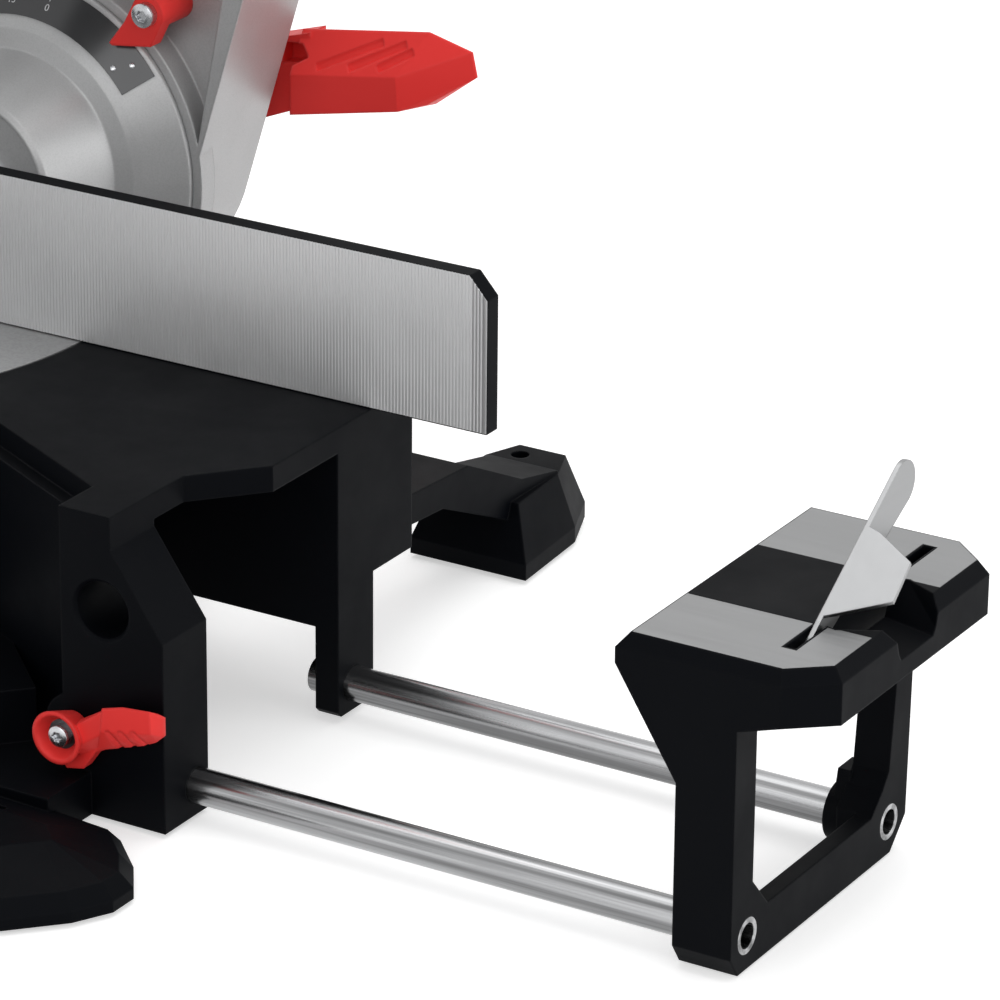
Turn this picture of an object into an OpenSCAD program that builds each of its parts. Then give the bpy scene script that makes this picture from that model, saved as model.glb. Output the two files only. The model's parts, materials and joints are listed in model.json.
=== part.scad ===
// Sliding compound mitre saw with pull-out side supports.
// X runs to the right along the fence, Y to the back, Z up from the floor.
// The origin lies on the floor, below the turning axis of the table.

/* [Table] */
// Height of the table top above the floor
table_h = 142; // [138:1:150]
// Radius of the turntable
turn_r = 170; // [164:1:174]
// Running gap round the turntable
turn_gap = 1.5; // [1:0.1:2.5]
// Outer radius of the front scale ring
ring_r = 206; // [202:1:208]
// Drop of the scale ring below the table top
ring_drop = 8; // [7:0.5:10]
// Half width of the table top at the front
wing_x = 300; // [294:1:306]
// Depth of the table in front of the fence
table_front = 164; // [160:1:170]
// Thickness of the table wings
wing_t = 12; // [9:1:16]

/* [Base] */
// Half width of the base at the columns and the rear rail
base_x = 326; // [320:1:332]
// Height of the casting above the floor
base_gap = 2; // [1:0.5:4]
// Width of a front column
column_w = 52; // [50:1:56]
// Depth of a front column
column_d = 33; // [31:1:38]
// Height at which a column starts to lean in
column_lean_z = 90; // [84:1:96]
// Diameter of the round window in a column
window_d = 26; // [18:1:28]
// Front face of the rear rail, before the fence
rail_front = 27.5; // [26:0.5:30]
// Back face of the rear rail, behind the fence
rail_back = 34; // [32:0.5:38]
// Back face of the rear rail's lower half, behind the fence
rail_low_back = 1.5; // [0:0.5:4]
// Underside of the rear rail
rail_z = 45; // [42:1:50]
// Underside of the drum floor
drum_z = 46; // [44:1:50]
// Wall thickness of the casting
wall = 8; // [6:0.5:10]
// Half distance between the bench bolts, sideways
bolt_x = 275; // [268:1:280]
// Half distance between the bench bolts, front to back
bolt_y = 215; // [208:1:220]
// Diameter of the bench bolt holes
bolt_d = 9; // [7:0.5:11]
// Diameter of a rubber foot
foot_d = 30; // [24:1:34]

/* [Side supports] */
// Distance of the end frame's outer face from the middle
ext_reach = 594; // [580:1:610]
// Travel of a side support
ext_travel = 205; // [150:5:205]
// Diameter of the tubes
rod_d = 16; // [14:0.5:17]
// Wall of the tubes
rod_wall = 2.4; // [1.5:0.1:3]
// Height of the tubes above the floor
rod_z = 16; // [15:0.5:17]
// Front tube before the fence
rod_front = 140; // [138:0.5:142]
// Back tube before the fence
rod_back = 15.3; // [14:0.1:17]
// Length of the support head inside the end frame
head_in = 56; // [50:1:60]
// Overhang of the support head outside the end frame
head_out = 38; // [34:1:42]
// Front edge of the support head before the fence
head_front = 154; // [152:0.5:156]
// Back edge of the support head behind the fence
head_back = 8; // [6:0.5:10]
// Depth of the head's rim
head_rim = 24; // [21:0.5:26]
// Clearance of the side support above the floor
leg_gap = 1; // [0.5:0.5:2]
// Thickness of the wear plates
plate_t = 2; // [1:0.25:3]
// Thickness of the flip stop's sheet
stop_t = 2; // [1.5:0.25:2.5]
// Length of the flip stop from its pivot
stop_len = 96; // [80:1:98]
// Angle of the raised flip stop
stop_up = 33.8; // [20:0.1:60]

/* [Fence] */
// Height of the fence above the table
fence_h = 72; // [68:0.5:76]
// Half length of the fence
fence_x = 385; // [375:1:395]
// Thickness of the fence
fence_t = 9; // [8:0.5:11]
// Height of the fixed lower fence on the left
fence_low = 30; // [26:0.5:34]
// Travel of the sliding fence
fence_travel = 60; // [40:1:60]

/* [Turntable] */
// Length of the nose arm from the turning axis
nose_y = 330; // [322:1:340]
// Half width of the nose arm at the ring
nose_w = 46; // [40:1:46]
// Depth of the nose arm
nose_d = 50; // [44:1:52]
// Half width of the kerf
kerf = 8; // [7:0.25:9]
// Outer half width of the kerf inserts
insert_w = 30; // [24:1:34]
// Thickness of the table plates
top_t = 6; // [5:0.25:6]
// Thickness of the kerf inserts
insert_t = 3; // [2:0.25:4]
// Diameter of the turntable pivot bolt
pivot_d = 14; // [12:0.5:16]
// Diameter of the mitre lock rod
lock_rod_d = 12; // [10:0.5:13]

/* [Bevel] */
// Front face of the trunnion hub behind the fence
hub_y = 148; // [146:0.5:150]
// Parting plane between trunnion and tilt arm
part_y = 207; // [205:0.5:209]
// Radius of the trunnion at the parting plane
trunnion_r = 92; // [88:0.5:93]
// Diameter of the bevel pivot bolt
bevel_bolt_d = 16; // [14:0.5:18]
// Depth of the tilt arm
arm_d = 68; // [64:1:72]
// Radius of the round foot of the tilt arm
arm_r = 87.3; // [84:0.1:90]
// Depth of the pocket in the front of the tilt arm
pocket_d = 13; // [8:0.5:15]
// Lean of the tilt arm's sides
arm_lean = 17; // [14:0.5:20]

/* [Slide] */
// Diameter of the slide rods
slide_d = 25; // [22:0.5:26]
// Half distance between the slide rods
slide_x = 62; // [60:0.5:64]
// Height of the slide rods above the table
slide_h = 213; // [210:1:218]
// Travel of the head along the rods
slide_travel = 230; // [150:5:230]
// Wall of the slide bushes
bush_t = 3.5; // [2.5:0.25:4.5]

/* [Head] */
// Chop pivot behind the fence
chop_y = 135; // [133:0.5:137]
// Chop pivot above the table
chop_h = 255; // [253:0.5:258]
// Angle from the lowered to the raised head
chop_up = 40; // [36:0.5:42]
// Diameter of the chop pivot pin
chop_pin_d = 16; // [14:0.5:18]
// Blade diameter
blade_d = 254; // [250:1:255]
// Blade thickness
blade_t = 2.4; // [1.8:0.1:2.8]
// Number of blade teeth
blade_teeth = 40; // [24:2:60]
// Depth of cut below the table top
cut_depth = 6; // [4:0.5:7]
// Half width of the upper guard
guard_w = 22; // [21:0.5:24]
// Gap between blade and upper guard
guard_gap = 12; // [11:0.5:14]
// Wall of the guards
guard_t = 3.5; // [3:0.25:4]
// Wall of the lower guard
shield_t = 2; // [1.5:0.25:2.5]

/* [Drive] */
// Module of the gears
gear_m = 1.25; // [1.2:0.01:1.3]
// Teeth of the drive gear
gear_teeth = 48; // [48:1:48]
// Teeth of the pinion
pinion_teeth = 12; // [12:1:12]
// Width of the gears
gear_w = 12; // [9:0.5:13]
// Diameter of the arbor
arbor_d = 16; // [14:0.5:18]
// Diameter of the blade flanges
flange_d = 54; // [44:1:58]
// Diameter of the lower guard's running boss
boss_d = 68; // [64:1:70]
// Outer radius of the motor housing
motor_r = 47; // [46:0.5:49]
// Length of the motor housing
motor_len = 130; // [124:1:140]
// Diameter of the motor shaft
shaft_d = 10; // [8:0.5:11]

/* [Handle] */
// Half width of the handle
grip_w = 17; // [15:0.5:19]
// Travel of the trigger
trigger_travel = 6; // [3:0.5:6]
// Travel of the push buttons
button_travel = 3; // [2:0.5:4]

/* [Fits] */
// Radial clearance of running fits
run_gap = 0.05; // [0.03:0.01:0.1]
// Clearance between sliding and turning faces
face_gap = 0.3; // [0.2:0.05:0.5]
// Clearance round inlaid and dropped-in pieces
seat_gap = 0.1; // [0.05:0.05:0.2]

/* [Hidden] */
$fn = 72;
black = "#22252a";
dark = "#15171a";
alloy = "#9a9c9e";
steel = "#c9ccd0";
red = "#d8463f";
clear = "#7d8a92";
ring_top = table_h - ring_drop;
plate_z = table_h - top_t;
plate_back = 138;
drum_top = drum_z + 10;
column_in = base_x - column_w;
rod_r = rod_d / 2;
head_l = ext_reach - head_in;
head_r = ext_reach + head_out;
frame_in = ext_reach - 17;
leg_in = ext_reach - 27;
pin_y = -110;
pin_z = table_h - 6;
pin_r = 2.5;
stop_x = ext_reach + 9;
lever_x = column_in + 6;
lever_z = rod_z + 25.5;
cam_throw = 3;
fence_top = table_h + fence_h;
knob_x = -300;
knob_z = table_h + fence_low + 14;
lock_z = table_h - 30;
slide_z = table_h + slide_h;
slide_r = slide_d / 2;
arm_back = part_y + face_gap + arm_d;
block_back = arm_back + 15;
chop_z = table_h + chop_h;
arbor_y = -30;
arbor_z = table_h + blade_d / 2 - cut_depth;
pivot_y = chop_y - arbor_y;
pivot_z = chop_z - arbor_z;
guard_r = blade_d / 2 + guard_gap;
shield_r = guard_r - 5;
shield_w = guard_w - guard_t - 3.5;
motor_x = guard_w + 38;
motor_end = motor_x + motor_len;
gear_gap = gear_m * (gear_teeth + pinion_teeth) / 2;
motor_tilt = 78;
motor_y = gear_gap * cos(motor_tilt);
motor_z = gear_gap * sin(motor_tilt);
gear_x = guard_w + 12;
boss_x = 8;

// Extrude an XY outline from z0 to z1
module plan(z0, z1) {
    translate([0, 0, z0]) linear_extrude(z1 - z0) children();
}

// Extrude a YZ outline from x0 to x1
module side(x0, x1) {
    translate([x0, 0, 0]) rotate([90, 0, 90]) linear_extrude(x1 - x0) children();
}

// Extrude an XZ outline from y0 to y1
module front(y0, y1) {
    translate([0, y1, 0]) rotate([90, 0, 0]) linear_extrude(y1 - y0) children();
}

module slab(x0, x1, y0, y1, z0, z1) {
    translate([x0, y0, z0]) cube([x1 - x0, y1 - y0, z1 - z0]);
}

module bar_x(x0, x1, y, z, r) {
    translate([x0, y, z]) rotate([0, 90, 0]) cylinder(r = r, h = x1 - x0);
}

module bar_y(y0, y1, x, z, r) {
    translate([x, y0, z]) rotate([-90, 0, 0]) cylinder(r = r, h = y1 - y0);
}

module bar_z(z0, z1, x, y, r) {
    translate([x, y, z0]) cylinder(r = r, h = z1 - z0);
}

// Revolve (radius, position) points about the X axis
module turned_x(points) {
    rotate([0, 90, 0]) rotate_extrude() polygon(points);
}

// Revolve (radius, position) points about the Y axis
module turned_y(points) {
    rotate([-90, 0, 0]) rotate_extrude() polygon(points);
}

module both() {
    children();
    mirror([1, 0, 0]) children();
}

// Set a piece of the head, drawn round the arbor with the head lowered, at the raised head
module raised() {
    translate([0, chop_y, chop_z]) rotate([-chop_up, 0, 0]) translate([0, -pivot_y, -pivot_z]) children();
}

// Base

module base_wing() {
    plan(table_h - wing_t, table_h) polygon([
        [wing_x, -table_front], [wing_x, -table_front + 55], [base_x, -table_front + 85],
        [base_x, rail_back], [100, rail_back], [100, -47], [150, -76],
        [column_in, -139], [column_in, -table_front]
    ]);
}

module base_rail() {
    difference() {
        side(ring_r - 9, base_x) polygon([
            [-rail_front, rail_z], [rail_low_back, rail_z], [rail_low_back, rail_z + 19], [rail_back, rail_z + 19],
            [rail_back, table_h - 1], [-rail_front, table_h - 1]
        ]);
        slab(ring_r + 4, base_x - 12, wall - rail_front, rail_low_back - wall, rail_z - 1, table_h - wing_t - 3);
        slab(ring_r + 4, base_x - 12, rail_low_back, rail_back - wall, rail_z + 18, table_h - wing_t - 3);
    }
    side(base_x - 12, base_x) polygon([
        [-rail_front, rail_z + 1], [-rail_front, rod_z - 10.5], [2.5 - rail_front, rod_z - 13],
        [-rod_back + 8, rod_z - 13], [rail_low_back, rod_z - 3], [rail_low_back, rail_z + 1]
    ]);
}

module base_column() {
    front(-table_front, -table_front + column_d) polygon([
        [column_in, base_gap], [base_x, base_gap], [base_x, column_lean_z],
        [wing_x, table_h - 15], [wing_x, table_h], [column_in, table_h]
    ]);
    bar_y(-table_front, -table_front + column_d, lever_x, lever_z, 15);
    plan(base_gap, table_h - wing_t + 1) polygon([
        [ring_r - 38, -93], [column_in + 2, -148], [column_in + 7, -138], [ring_r - 33, -83]
    ]);
}

module base_foot_outline() {
    polygon([
        [225, -178], [319, -187], [338, -205], [349, -221], [349, -236],
        [340, -253], [320, -274], [290, -296], [255, -296], [225, -270]
    ]);
}

module base_foot() {
    hull() {
        plan(base_gap, base_gap + 5) base_foot_outline();
        plan(13.5, 14) offset(delta = -6) base_foot_outline();
    }
    hull() {
        plan(13, 14) offset(delta = -6) base_foot_outline();
        plan(23.5, 24) offset(delta = -34) base_foot_outline();
    }
    slab(226, 288, -196, -140, base_gap, 22);
    plan(base_gap, drum_z + 1) polygon([[150, -95], [226, -176], [250, -150], [180, -85]]);
}

module rear_leg_outline() {
    polygon([[252, 152], [316, 152], [312, 205], [300, 235], [262, 235], [252, 208]]);
}

module rear_leg() {
    hull() {
        plan(base_gap, base_gap + 8) rear_leg_outline();
        plan(30, 36) offset(delta = -9) rear_leg_outline();
    }
    side(264, 302) polygon([
        [rail_back - 3, rail_z + 21], [70, rail_z + 11], [100, rail_z + 9], [158, 28], [205, 28], [205, 37],
        [172, 44], [122, rail_z + 23], [70, rail_z + 26], [rail_back - 3, rail_z + 56]
    ]);
}

module rubber_pad(gap) {
    for (spot = [[bolt_x + 45, -bolt_y - 25], [bolt_x + 8, bolt_y - 38]])
        both() bar_z(0, 8 + gap, spot[0], spot[1], foot_d / 2 + gap);
}

module base_body() difference() {
    union() {
        bar_z(drum_z, drum_top, 0, 0, ring_r - 8);
        rotate([0, 0, 172]) rotate_extrude(angle = 196) polygon([
            [ring_r - 12, drum_z + 4], [ring_r, drum_z + 4], [ring_r, ring_top],
            [turn_r - 6, ring_top], [turn_r - 6, ring_top - 14], [ring_r - 12, ring_top - 22]
        ]);
        both() {
            base_wing();
            base_rail();
            base_column();
            base_foot();
            rear_leg();
        }
    }
    bar_z(drum_top + 3, table_h + 1, 0, 0, turn_r + turn_gap);
    bar_z(drum_z - 1, drum_top + 1, 0, 0, pivot_d / 2);
    both() {
        bar_y(-table_front - 1, -table_front + column_d + 1, column_in + 21, table_h - 43.5, window_d / 2);
        translate([column_in + 21, -table_front - 1, table_h - 43.5]) rotate([-90, 0, 0])
            cylinder(r1 = window_d / 2 + 2.4, r2 = window_d / 2 - 0.6, h = 3);
        bar_x(column_in - ext_travel - 27, base_x + 1, -rod_front, rod_z, rod_r + run_gap);
        bar_x(base_x - 13, base_x + 1, -rod_back, rod_z, rod_r + run_gap);
        bar_y(-table_front - 1, -table_front + column_d + 1, lever_x, lever_z, 6 + run_gap);
        slab(lever_x - 18, lever_x + 18, -rod_front - 8, -table_front + column_d + 1, rod_z + 4, lever_z + 17);
        for (y = [-bolt_y, bolt_y])
            bar_z(base_gap - 1, 60, bolt_x, y, bolt_d / 2);
    }
    rubber_pad(0);
    slab(-400, 400, -400, 400, -1, base_gap);
}

// The body with flat pads round the bench bolt holes, level with the rubber feet
module base_casting() color(black) {
    base_body();
    both() for (y = [-bolt_y, bolt_y]) difference() {
        bar_z(0, base_gap + 1, bolt_x, y, bolt_d / 2 + 6);
        bar_z(-1, base_gap + 2, bolt_x, y, bolt_d / 2);
    }
}

module rubber_feet() color(dark) {
    rubber_pad(0);
}

module mitre_pivot_bolt() color(steel) {
    bar_z(drum_z - 9, drum_z, 0, 0, pivot_d - 2);
    bar_z(drum_z - 1, table_h - 28, 0, 0, pivot_d / 2);
}

module mitre_scale() color(steel) {
    rotate([0, 0, 217]) rotate_extrude(angle = 106)
        translate([turn_r + 0.3 * (ring_r - turn_r), ring_top]) square([0.58 * (ring_r - turn_r), 1.2]);
}

// Fence

module fence_ribs(spots, top) {
    for (x = spots)
        side(x, x + 6) polygon([[fence_t, table_h], [rail_back - 4, table_h + 6], [fence_t, top - 12]]);
}

module over_turntable() {
    bar_z(table_h - 1, table_h + 0.5, 0, 0, turn_r + turn_gap + 2);
}

module fence_right() color(black) difference() {
    union() {
        front(0, fence_t) polygon([
            [62, table_h], [fence_x, table_h], [fence_x, fence_top - 10], [fence_x - 9, fence_top],
            [112, fence_top], [101, table_h + 28], [66, table_h + 24], [62, table_h + 18]
        ]);
        slab(118, base_x - 4, fence_t - 1, rail_back, table_h, table_h + 8);
        fence_ribs([130, 190, 250, 310], fence_top);
    }
    over_turntable();
}

module fence_left() color(black) difference() {
    union() {
        front(0, fence_t) polygon([
            [-fence_x, table_h], [-95, table_h], [-106, table_h + fence_low], [-fence_x, table_h + fence_low]
        ]);
        slab(4 - base_x, -122, fence_t - 1, rail_back, table_h, table_h + 8);
        front(fence_t + face_gap, fence_t + 8) polygon([
            [-385, table_h + 1], [-205, table_h + 1], [-205, knob_z + 8], [-209, knob_z + 12],
            [-381, knob_z + 12], [-385, knob_z + 8]
        ]);
        slab(-385, -205, fence_t - 1, fence_t + 1, table_h + 1, table_h + fence_low - 4);
        for (x = [-322, -252])
            side(x, x + 6) polygon([
                [fence_t + 4, table_h], [rail_back - 4, table_h + 6], [fence_t + 4, knob_z - 10]
            ]);
    }
    front(fence_t - 2, fence_t + 10) hull() {
        translate([knob_x + 4, knob_z]) circle(r = 4);
        translate([knob_x - fence_travel - 4, knob_z]) circle(r = 4);
    }
    over_turntable();
}

module sliding_fence() color(black) difference() {
    front(0, fence_t) polygon([
        [-fence_x, table_h + fence_low + face_gap], [-150, table_h + fence_low + face_gap],
        [-150 - (fence_h - fence_low), fence_top], [9 - fence_x, fence_top], [-fence_x, fence_top - 10]
    ]);
    bar_y(fence_t - 7, fence_t + 1, knob_x, knob_z, 3 + run_gap);
}

// Round grip with scallops about the Y axis
module scalloped_grip(r, y0, y1, lobes) {
    front(y0, y1) difference() {
        circle(r = r);
        for (i = [0:lobes - 1])
            rotate(i * 360 / lobes) translate([r * 1.13, 0]) circle(r = r * 0.24);
    }
}

module fence_knob() color(red) translate([knob_x, 0, knob_z]) {
    scalloped_grip(16, fence_t + 8 + face_gap, fence_t + 22, 7);
    bar_y(fence_t - 6, fence_t + 10, 0, 0, 3);
}

// Side supports, drawn for the right-hand side

module head_outline() {
    polygon([
        [head_l, -head_front], [head_r - 19, -head_front], [head_r, -head_front + 16],
        [head_r, head_back - 16], [head_r - 18, head_back], [head_l, head_back]
    ]);
}

// Finger notch that also takes the folded wing of the stop
module finger_notch() {
    polygon([
        [stop_x + 3, pin_y + 7], [stop_x + 8, pin_y + 6], [head_r + 5, pin_y + 20],
        [head_r + 5, pin_y + 54], [stop_x + 10, pin_y + 66], [stop_x + 3, pin_y + 64]
    ]);
}

module finger_floor() {
    polygon([
        [stop_x + 3, pin_y + 14], [head_r + 5, pin_y + 25], [head_r + 5, pin_y + 50], [stop_x + 3, pin_y + 58]
    ]);
}

module stop_slot() {
    translate([stop_x - 1.5, -130]) square([stop_t + 3, 122]);
}

module wear_plate_outline(front_part) {
    difference() {
        intersection() {
            offset(delta = -5) head_outline();
            if (front_part) {
                translate([head_l, -head_front]) square([head_in + head_out, head_front + pin_y + 6]);
            } else {
                translate([head_l, pin_y + 66]) square([head_in + head_out, head_front]);
            }
        }
        offset(delta = 1) finger_notch();
        offset(delta = 1) stop_slot();
    }
}

module extension_frame() difference() {
    union() {
        hull() {
            plan(table_h - head_rim, table_h - 6) head_outline();
            plan(table_h - 0.5, table_h) offset(delta = -4.6) head_outline();
        }
        front(-head_front, -head_front + 17.5) polygon([
            [head_l, table_h - 10], [head_l, table_h - 13], [leg_in, table_h - 59], [leg_in, leg_gap],
            [ext_reach, leg_gap], [ext_reach, table_h - 30], [head_r - 19, table_h - head_rim],
            [head_r - 19, table_h - 10]
        ]);
        side(frame_in, ext_reach) difference() {
            polygon([
                [-head_front, table_h - 16], [-head_front, leg_gap], [-rod_back + 2, leg_gap],
                [0, leg_gap + 13], [3, table_h - 16]
            ]);
            polygon([
                [-head_front + 17.5, table_h - 28], [-head_front + 17.5, 39], [-head_front + 31, 24],
                [-32, 24], [-22.4, 33], [-17, 40], [-12.9, 80], [-11, table_h - 28]
            ]);
        }
        bar_x(frame_in - 8, frame_in + 1, -rod_back, rod_z, rod_r + 5);
        side(frame_in - 5, frame_in + 1) polygon([[-25, rod_z + 6], [-21, 38], [-8, 38], [-5, rod_z + 6]]);
        front(-8, head_back - 2) polygon([
            [head_l + 8, table_h - 16], [head_l + 8, table_h - 22], [frame_in + 1, table_h - 52],
            [frame_in + 1, table_h - 16]
        ]);
    }
    side(leg_in - 1, ext_reach + 1)
        polygon([[-head_front - 1, leg_gap - 1], [-head_front - 1, leg_gap + 11], [-head_front + 7, leg_gap - 1]]);
    front(-head_front - 1, head_back + 1)
        polygon([[head_l - 1, table_h - 11.4], [leg_in, table_h - 59], [head_l - 1, table_h - 59]]);
    slab(frame_in - 1, ext_reach - 8, -124, -31, leg_gap - 1, 25);
    slab(head_l + 10, frame_in - 1, -head_front + 24, -14, table_h - head_rim - 1, table_h - 8);
    for (part = [true, false])
        plan(table_h - plate_t, table_h + 1) offset(delta = seat_gap) wear_plate_outline(part);
    plan(table_h - head_rim - 1, table_h + 1) stop_slot();
    hull() {
        plan(table_h - 0.5, table_h + 1) finger_notch();
        plan(table_h - 15, table_h - 14.5) finger_floor();
    }
    bar_x(ext_reach - 1, stop_x + 14, pin_y, pin_z, pin_r);
    bar_x(leg_in - 40, ext_reach + 1, -rod_front, rod_z, rod_r);
    bar_x(leg_in - 40, ext_reach + 1, -rod_back, rod_z, rod_r);
}

module extension_tubes() {
    for (tube = [[rod_front, column_in - 22], [rod_back, base_x - 19]]) {
        difference() {
            bar_x(tube[1], ext_reach, -tube[0], rod_z, rod_r);
            bar_x(tube[1] - 1, ext_reach + 1, -tube[0], rod_z, rod_r - rod_wall);
        }
    }
}

module wear_plates() {
    for (part = [true, false])
        plan(table_h - plate_t, table_h) wear_plate_outline(part);
}

// Sheet stop: a tongue on edge with a finger wing bent off its top edge, on its own pin
module flip_stop() translate([0, pin_y, pin_z]) rotate([stop_up, 0, 0]) {
    side(stop_x, stop_x + stop_t) union() {
        hull() {
            circle(r = 5);
            translate([stop_len - 10, -4.75]) circle(r = 10);
            translate([8, -4.75]) square([1, 10]);
        }
    }
    plan(5.25 - stop_t, 5.25) polygon([
        [stop_x, 9.8], [stop_x + 27, 24.8], [stop_x + 26, 44.5], [stop_x + 8, 54.5], [stop_x, 57]
    ]);
    bar_x(ext_reach + 1, stop_x + 12, 0, 0, pin_r - run_gap);
}

// A finger groove between two points
module groove(from, to, r) {
    d = to - from;
    translate(from) rotate([0, acos(d.z / norm(d)), atan2(d.y, d.x)]) cylinder(r = r, h = norm(d));
}

// Red cam lever that locks the tubes: dished hub, heel, neck and a paddle that stands forward
module lock_lever() translate([lever_x, -table_front, lever_z]) {
    difference() {
        union() {
            translate([0, -14, 0]) rotate([-90, 0, 0]) cylinder(r1 = 12.2, r2 = 7.5, h = 14 - face_gap);
            front(-6.5, -face_gap)
                polygon([[-7, -7], [0, -17], [8.8, -15.2], [15.5, -5.7], [20, -3], [12, 4], [-5, 5]]);
            hull() {
                front(-11.5, -11) polygon([[9, 7.5], [24, 18], [24, 7.5], [11.2, 0.8], [6, -5]]);
                front(-4, -3) polygon([[4, 5], [20, 12], [20, -4], [14, -7], [8, -11]]);
            }
            hull() {
                front(-13, -12.5) polygon([[23.5, 19], [34, 22], [47.5, 23.2], [48.4, 13.1], [22.5, 7.7]]);
                front(-6, -4) polygon([
                    [18, 13], [33, 17], [46, 18.6], [49.8, 17.8], [49.8, 9.5], [46, 6], [40.2, 3.1],
                    [23.6, -2], [16, -5]
                ]);
            }
        }
        translate([0, -15, 0]) rotate([-90, 0, 0]) cylinder(r1 = 10.6, r2 = 7.1, h = 7);
        bar_y(-15, 1, 0, 0, 3 + run_gap);
        for (i = [0:2])
            groove([26 + 6.5 * i, -13.6, 8.4 + 1.4 * i], [29 + 6.5 * i, -4.6, -2.6 + 1.9 * i], 1.7);
    }
    difference() {
        union() {
            bar_y(-1, column_d - 4, 0, 0, 6);
            bar_y(table_front - rod_front - 6, table_front - rod_front + 6, 0, -cam_throw,
                lever_z - rod_z - rod_r - cam_throw - face_gap);
        }
        bar_y(-2, column_d, 0, 0, 3 + run_gap);
    }
}

module extension_frame_right() color(black) extension_frame();
module extension_tubes_right() color(steel) extension_tubes();
module wear_plates_right() color(alloy) wear_plates();
module flip_stop_right() color(steel) flip_stop();
module lock_lever_right() color(red) lock_lever();
module extension_frame_left() color(black) mirror([1, 0, 0]) extension_frame();
module extension_tubes_left() color(steel) mirror([1, 0, 0]) extension_tubes();
module wear_plates_left() color(alloy) mirror([1, 0, 0]) wear_plates();
module flip_stop_left() color(steel) mirror([1, 0, 0]) flip_stop();
module lock_lever_left() color(red) mirror([1, 0, 0]) lock_lever();

module lever_screws() color(steel) both() {
    bar_y(-table_front - 12, -table_front - 8.2, lever_x, lever_z, 4.8);
    bar_y(-table_front - 9.2, -table_front - 8.2, lever_x, lever_z, 6.6);
    bar_y(-table_front - 9, -table_front + column_d + 2, lever_x, lever_z, 3);
    bar_y(-table_front + column_d - 2, -table_front + column_d + 2, lever_x, lever_z, 5.5);
}

// Turntable

module nose_outline(inset) {
    polygon([
        [-nose_w + inset, -ring_r - 2.5 - inset], [nose_w - inset, -ring_r - 2.5 - inset],
        [nose_w - 8 - inset, -nose_y + inset], [-nose_w + 8 + inset, -nose_y + inset]
    ]);
}

// Trunnion: a flaring hub round the bevel axis, which lies in the table top
module trunnion() translate([0, 0, table_h]) turned_y([
    [0, hub_y + 7], [trunnion_r - 49, hub_y + 7], [trunnion_r - 49, hub_y], [trunnion_r - 47, hub_y],
    [trunnion_r - 45, hub_y + 2], [trunnion_r - 34, part_y - 18], [trunnion_r - 24, part_y - 16],
    [trunnion_r - 20, part_y - 14], [trunnion_r, part_y - 2], [trunnion_r, part_y], [0, part_y]
]);

// Turntable casting: hub, ribs, rim, hollow nose and the trunnion behind
module turntable() color(alloy) difference() {
    union() {
        rotate_extrude() polygon([
            [0, drum_top], [38, drum_top], [38, plate_z - 5], [turn_r - 10, plate_z - 5],
            [turn_r - 10, table_h - 34], [turn_r, table_h - 34], [turn_r, plate_z], [0, plate_z]
        ]);
        for (i = [0:7])
            rotate(i * 45 + 22.5) slab(30, turn_r - 5, -3, 3, table_h - 30, plate_z - 2);
        difference() {
            plan(table_h - nose_d, plate_z) nose_outline(0);
            plan(table_h - nose_d - 1, plate_z + 1) nose_outline(7);
        }
        slab(-24, 24, -ring_r - 50, -ring_r - 5, lock_z - 14, lock_z + 11);
        slab(-55, 55, 100, part_y - 12, table_h - 66, plate_z - 1);
        trunnion();
    }
    slab(5 - insert_w, insert_w - 5, -nose_y + 18, 70, table_h - 21, plate_z + 1);
    bar_z(drum_top - 1, table_h - 24, 0, 0, pivot_d / 2 + run_gap);
    bar_y(-nose_y - 1, -ring_r + 10, 0, lock_z, lock_rod_d / 2 + run_gap);
    bar_y(hub_y - 28, hub_y + 7, 0, table_h, trunnion_r - 49);
    bar_y(hub_y - 1, part_y + 1, 0, table_h, bevel_bolt_d / 2);
    bar_x(-nose_w, nose_w, -nose_y + 14, table_h - nose_d + 7, 3);
    slab(-11.5, 11.5, -nose_y - 1, -nose_y + 34, table_h - nose_d - 1, table_h - nose_d + 15);
}

// Ground table plates: one on each side of the kerf, one behind it and one in front
module table_plates() color(alloy) difference() {
    intersection() {
        union() {
            bar_z(plate_z, table_h, 0, 0, turn_r);
            slab(-nose_w, nose_w, -ring_r - 4, -140, plate_z, table_h);
            plan(plate_z, table_h) nose_outline(0);
        }
        union() {
            both() slab(insert_w - 5, turn_r + 1, -nose_y - 1, plate_back, plate_z - 1, table_h + 1);
            slab(5.2 - insert_w, insert_w - 5.2, 74.2, plate_back, plate_z - 1, table_h + 1);
            slab(5.2 - insert_w, insert_w - 5.2, -nose_y - 1, -nose_y + 13.8, plate_z - 1, table_h + 1);
        }
    }
    slab(-insert_w - seat_gap, insert_w + seat_gap, -nose_y + 14, 74, table_h - insert_t, table_h + 1);
    bar_y(hub_y - 28, hub_y + 7, 0, table_h, trunnion_r - 49);
}

module kerf_inserts() color(dark) both() {
    difference() {
        slab(kerf, insert_w, -nose_y + 14 + seat_gap, 74 - seat_gap, table_h - insert_t, table_h);
        for (y = [-nose_y + 30, -160, 50])
            bar_z(table_h - insert_t - 1, table_h + 1, (kerf + insert_w) / 2, y, 2.2);
    }
}

module mitre_pointer() color(red) {
    plan(ring_top + 2, ring_top + 4)
        polygon([[nose_w, -ring_r + 6], [nose_w + 12, -ring_r + 14], [nose_w, -ring_r + 22]]);
}

module bevel_scale() color(steel) translate([0, 0, table_h]) rotate([-90, 0, 0]) rotate([0, 0, -128])
    rotate_extrude(angle = 92) polygon([
        [trunnion_r - 17.97, part_y - 12.85], [trunnion_r - 1.97, part_y - 3.25],
        [trunnion_r - 1.5, part_y - 4.1], [trunnion_r - 17.5, part_y - 13.7]
    ]);

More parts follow.
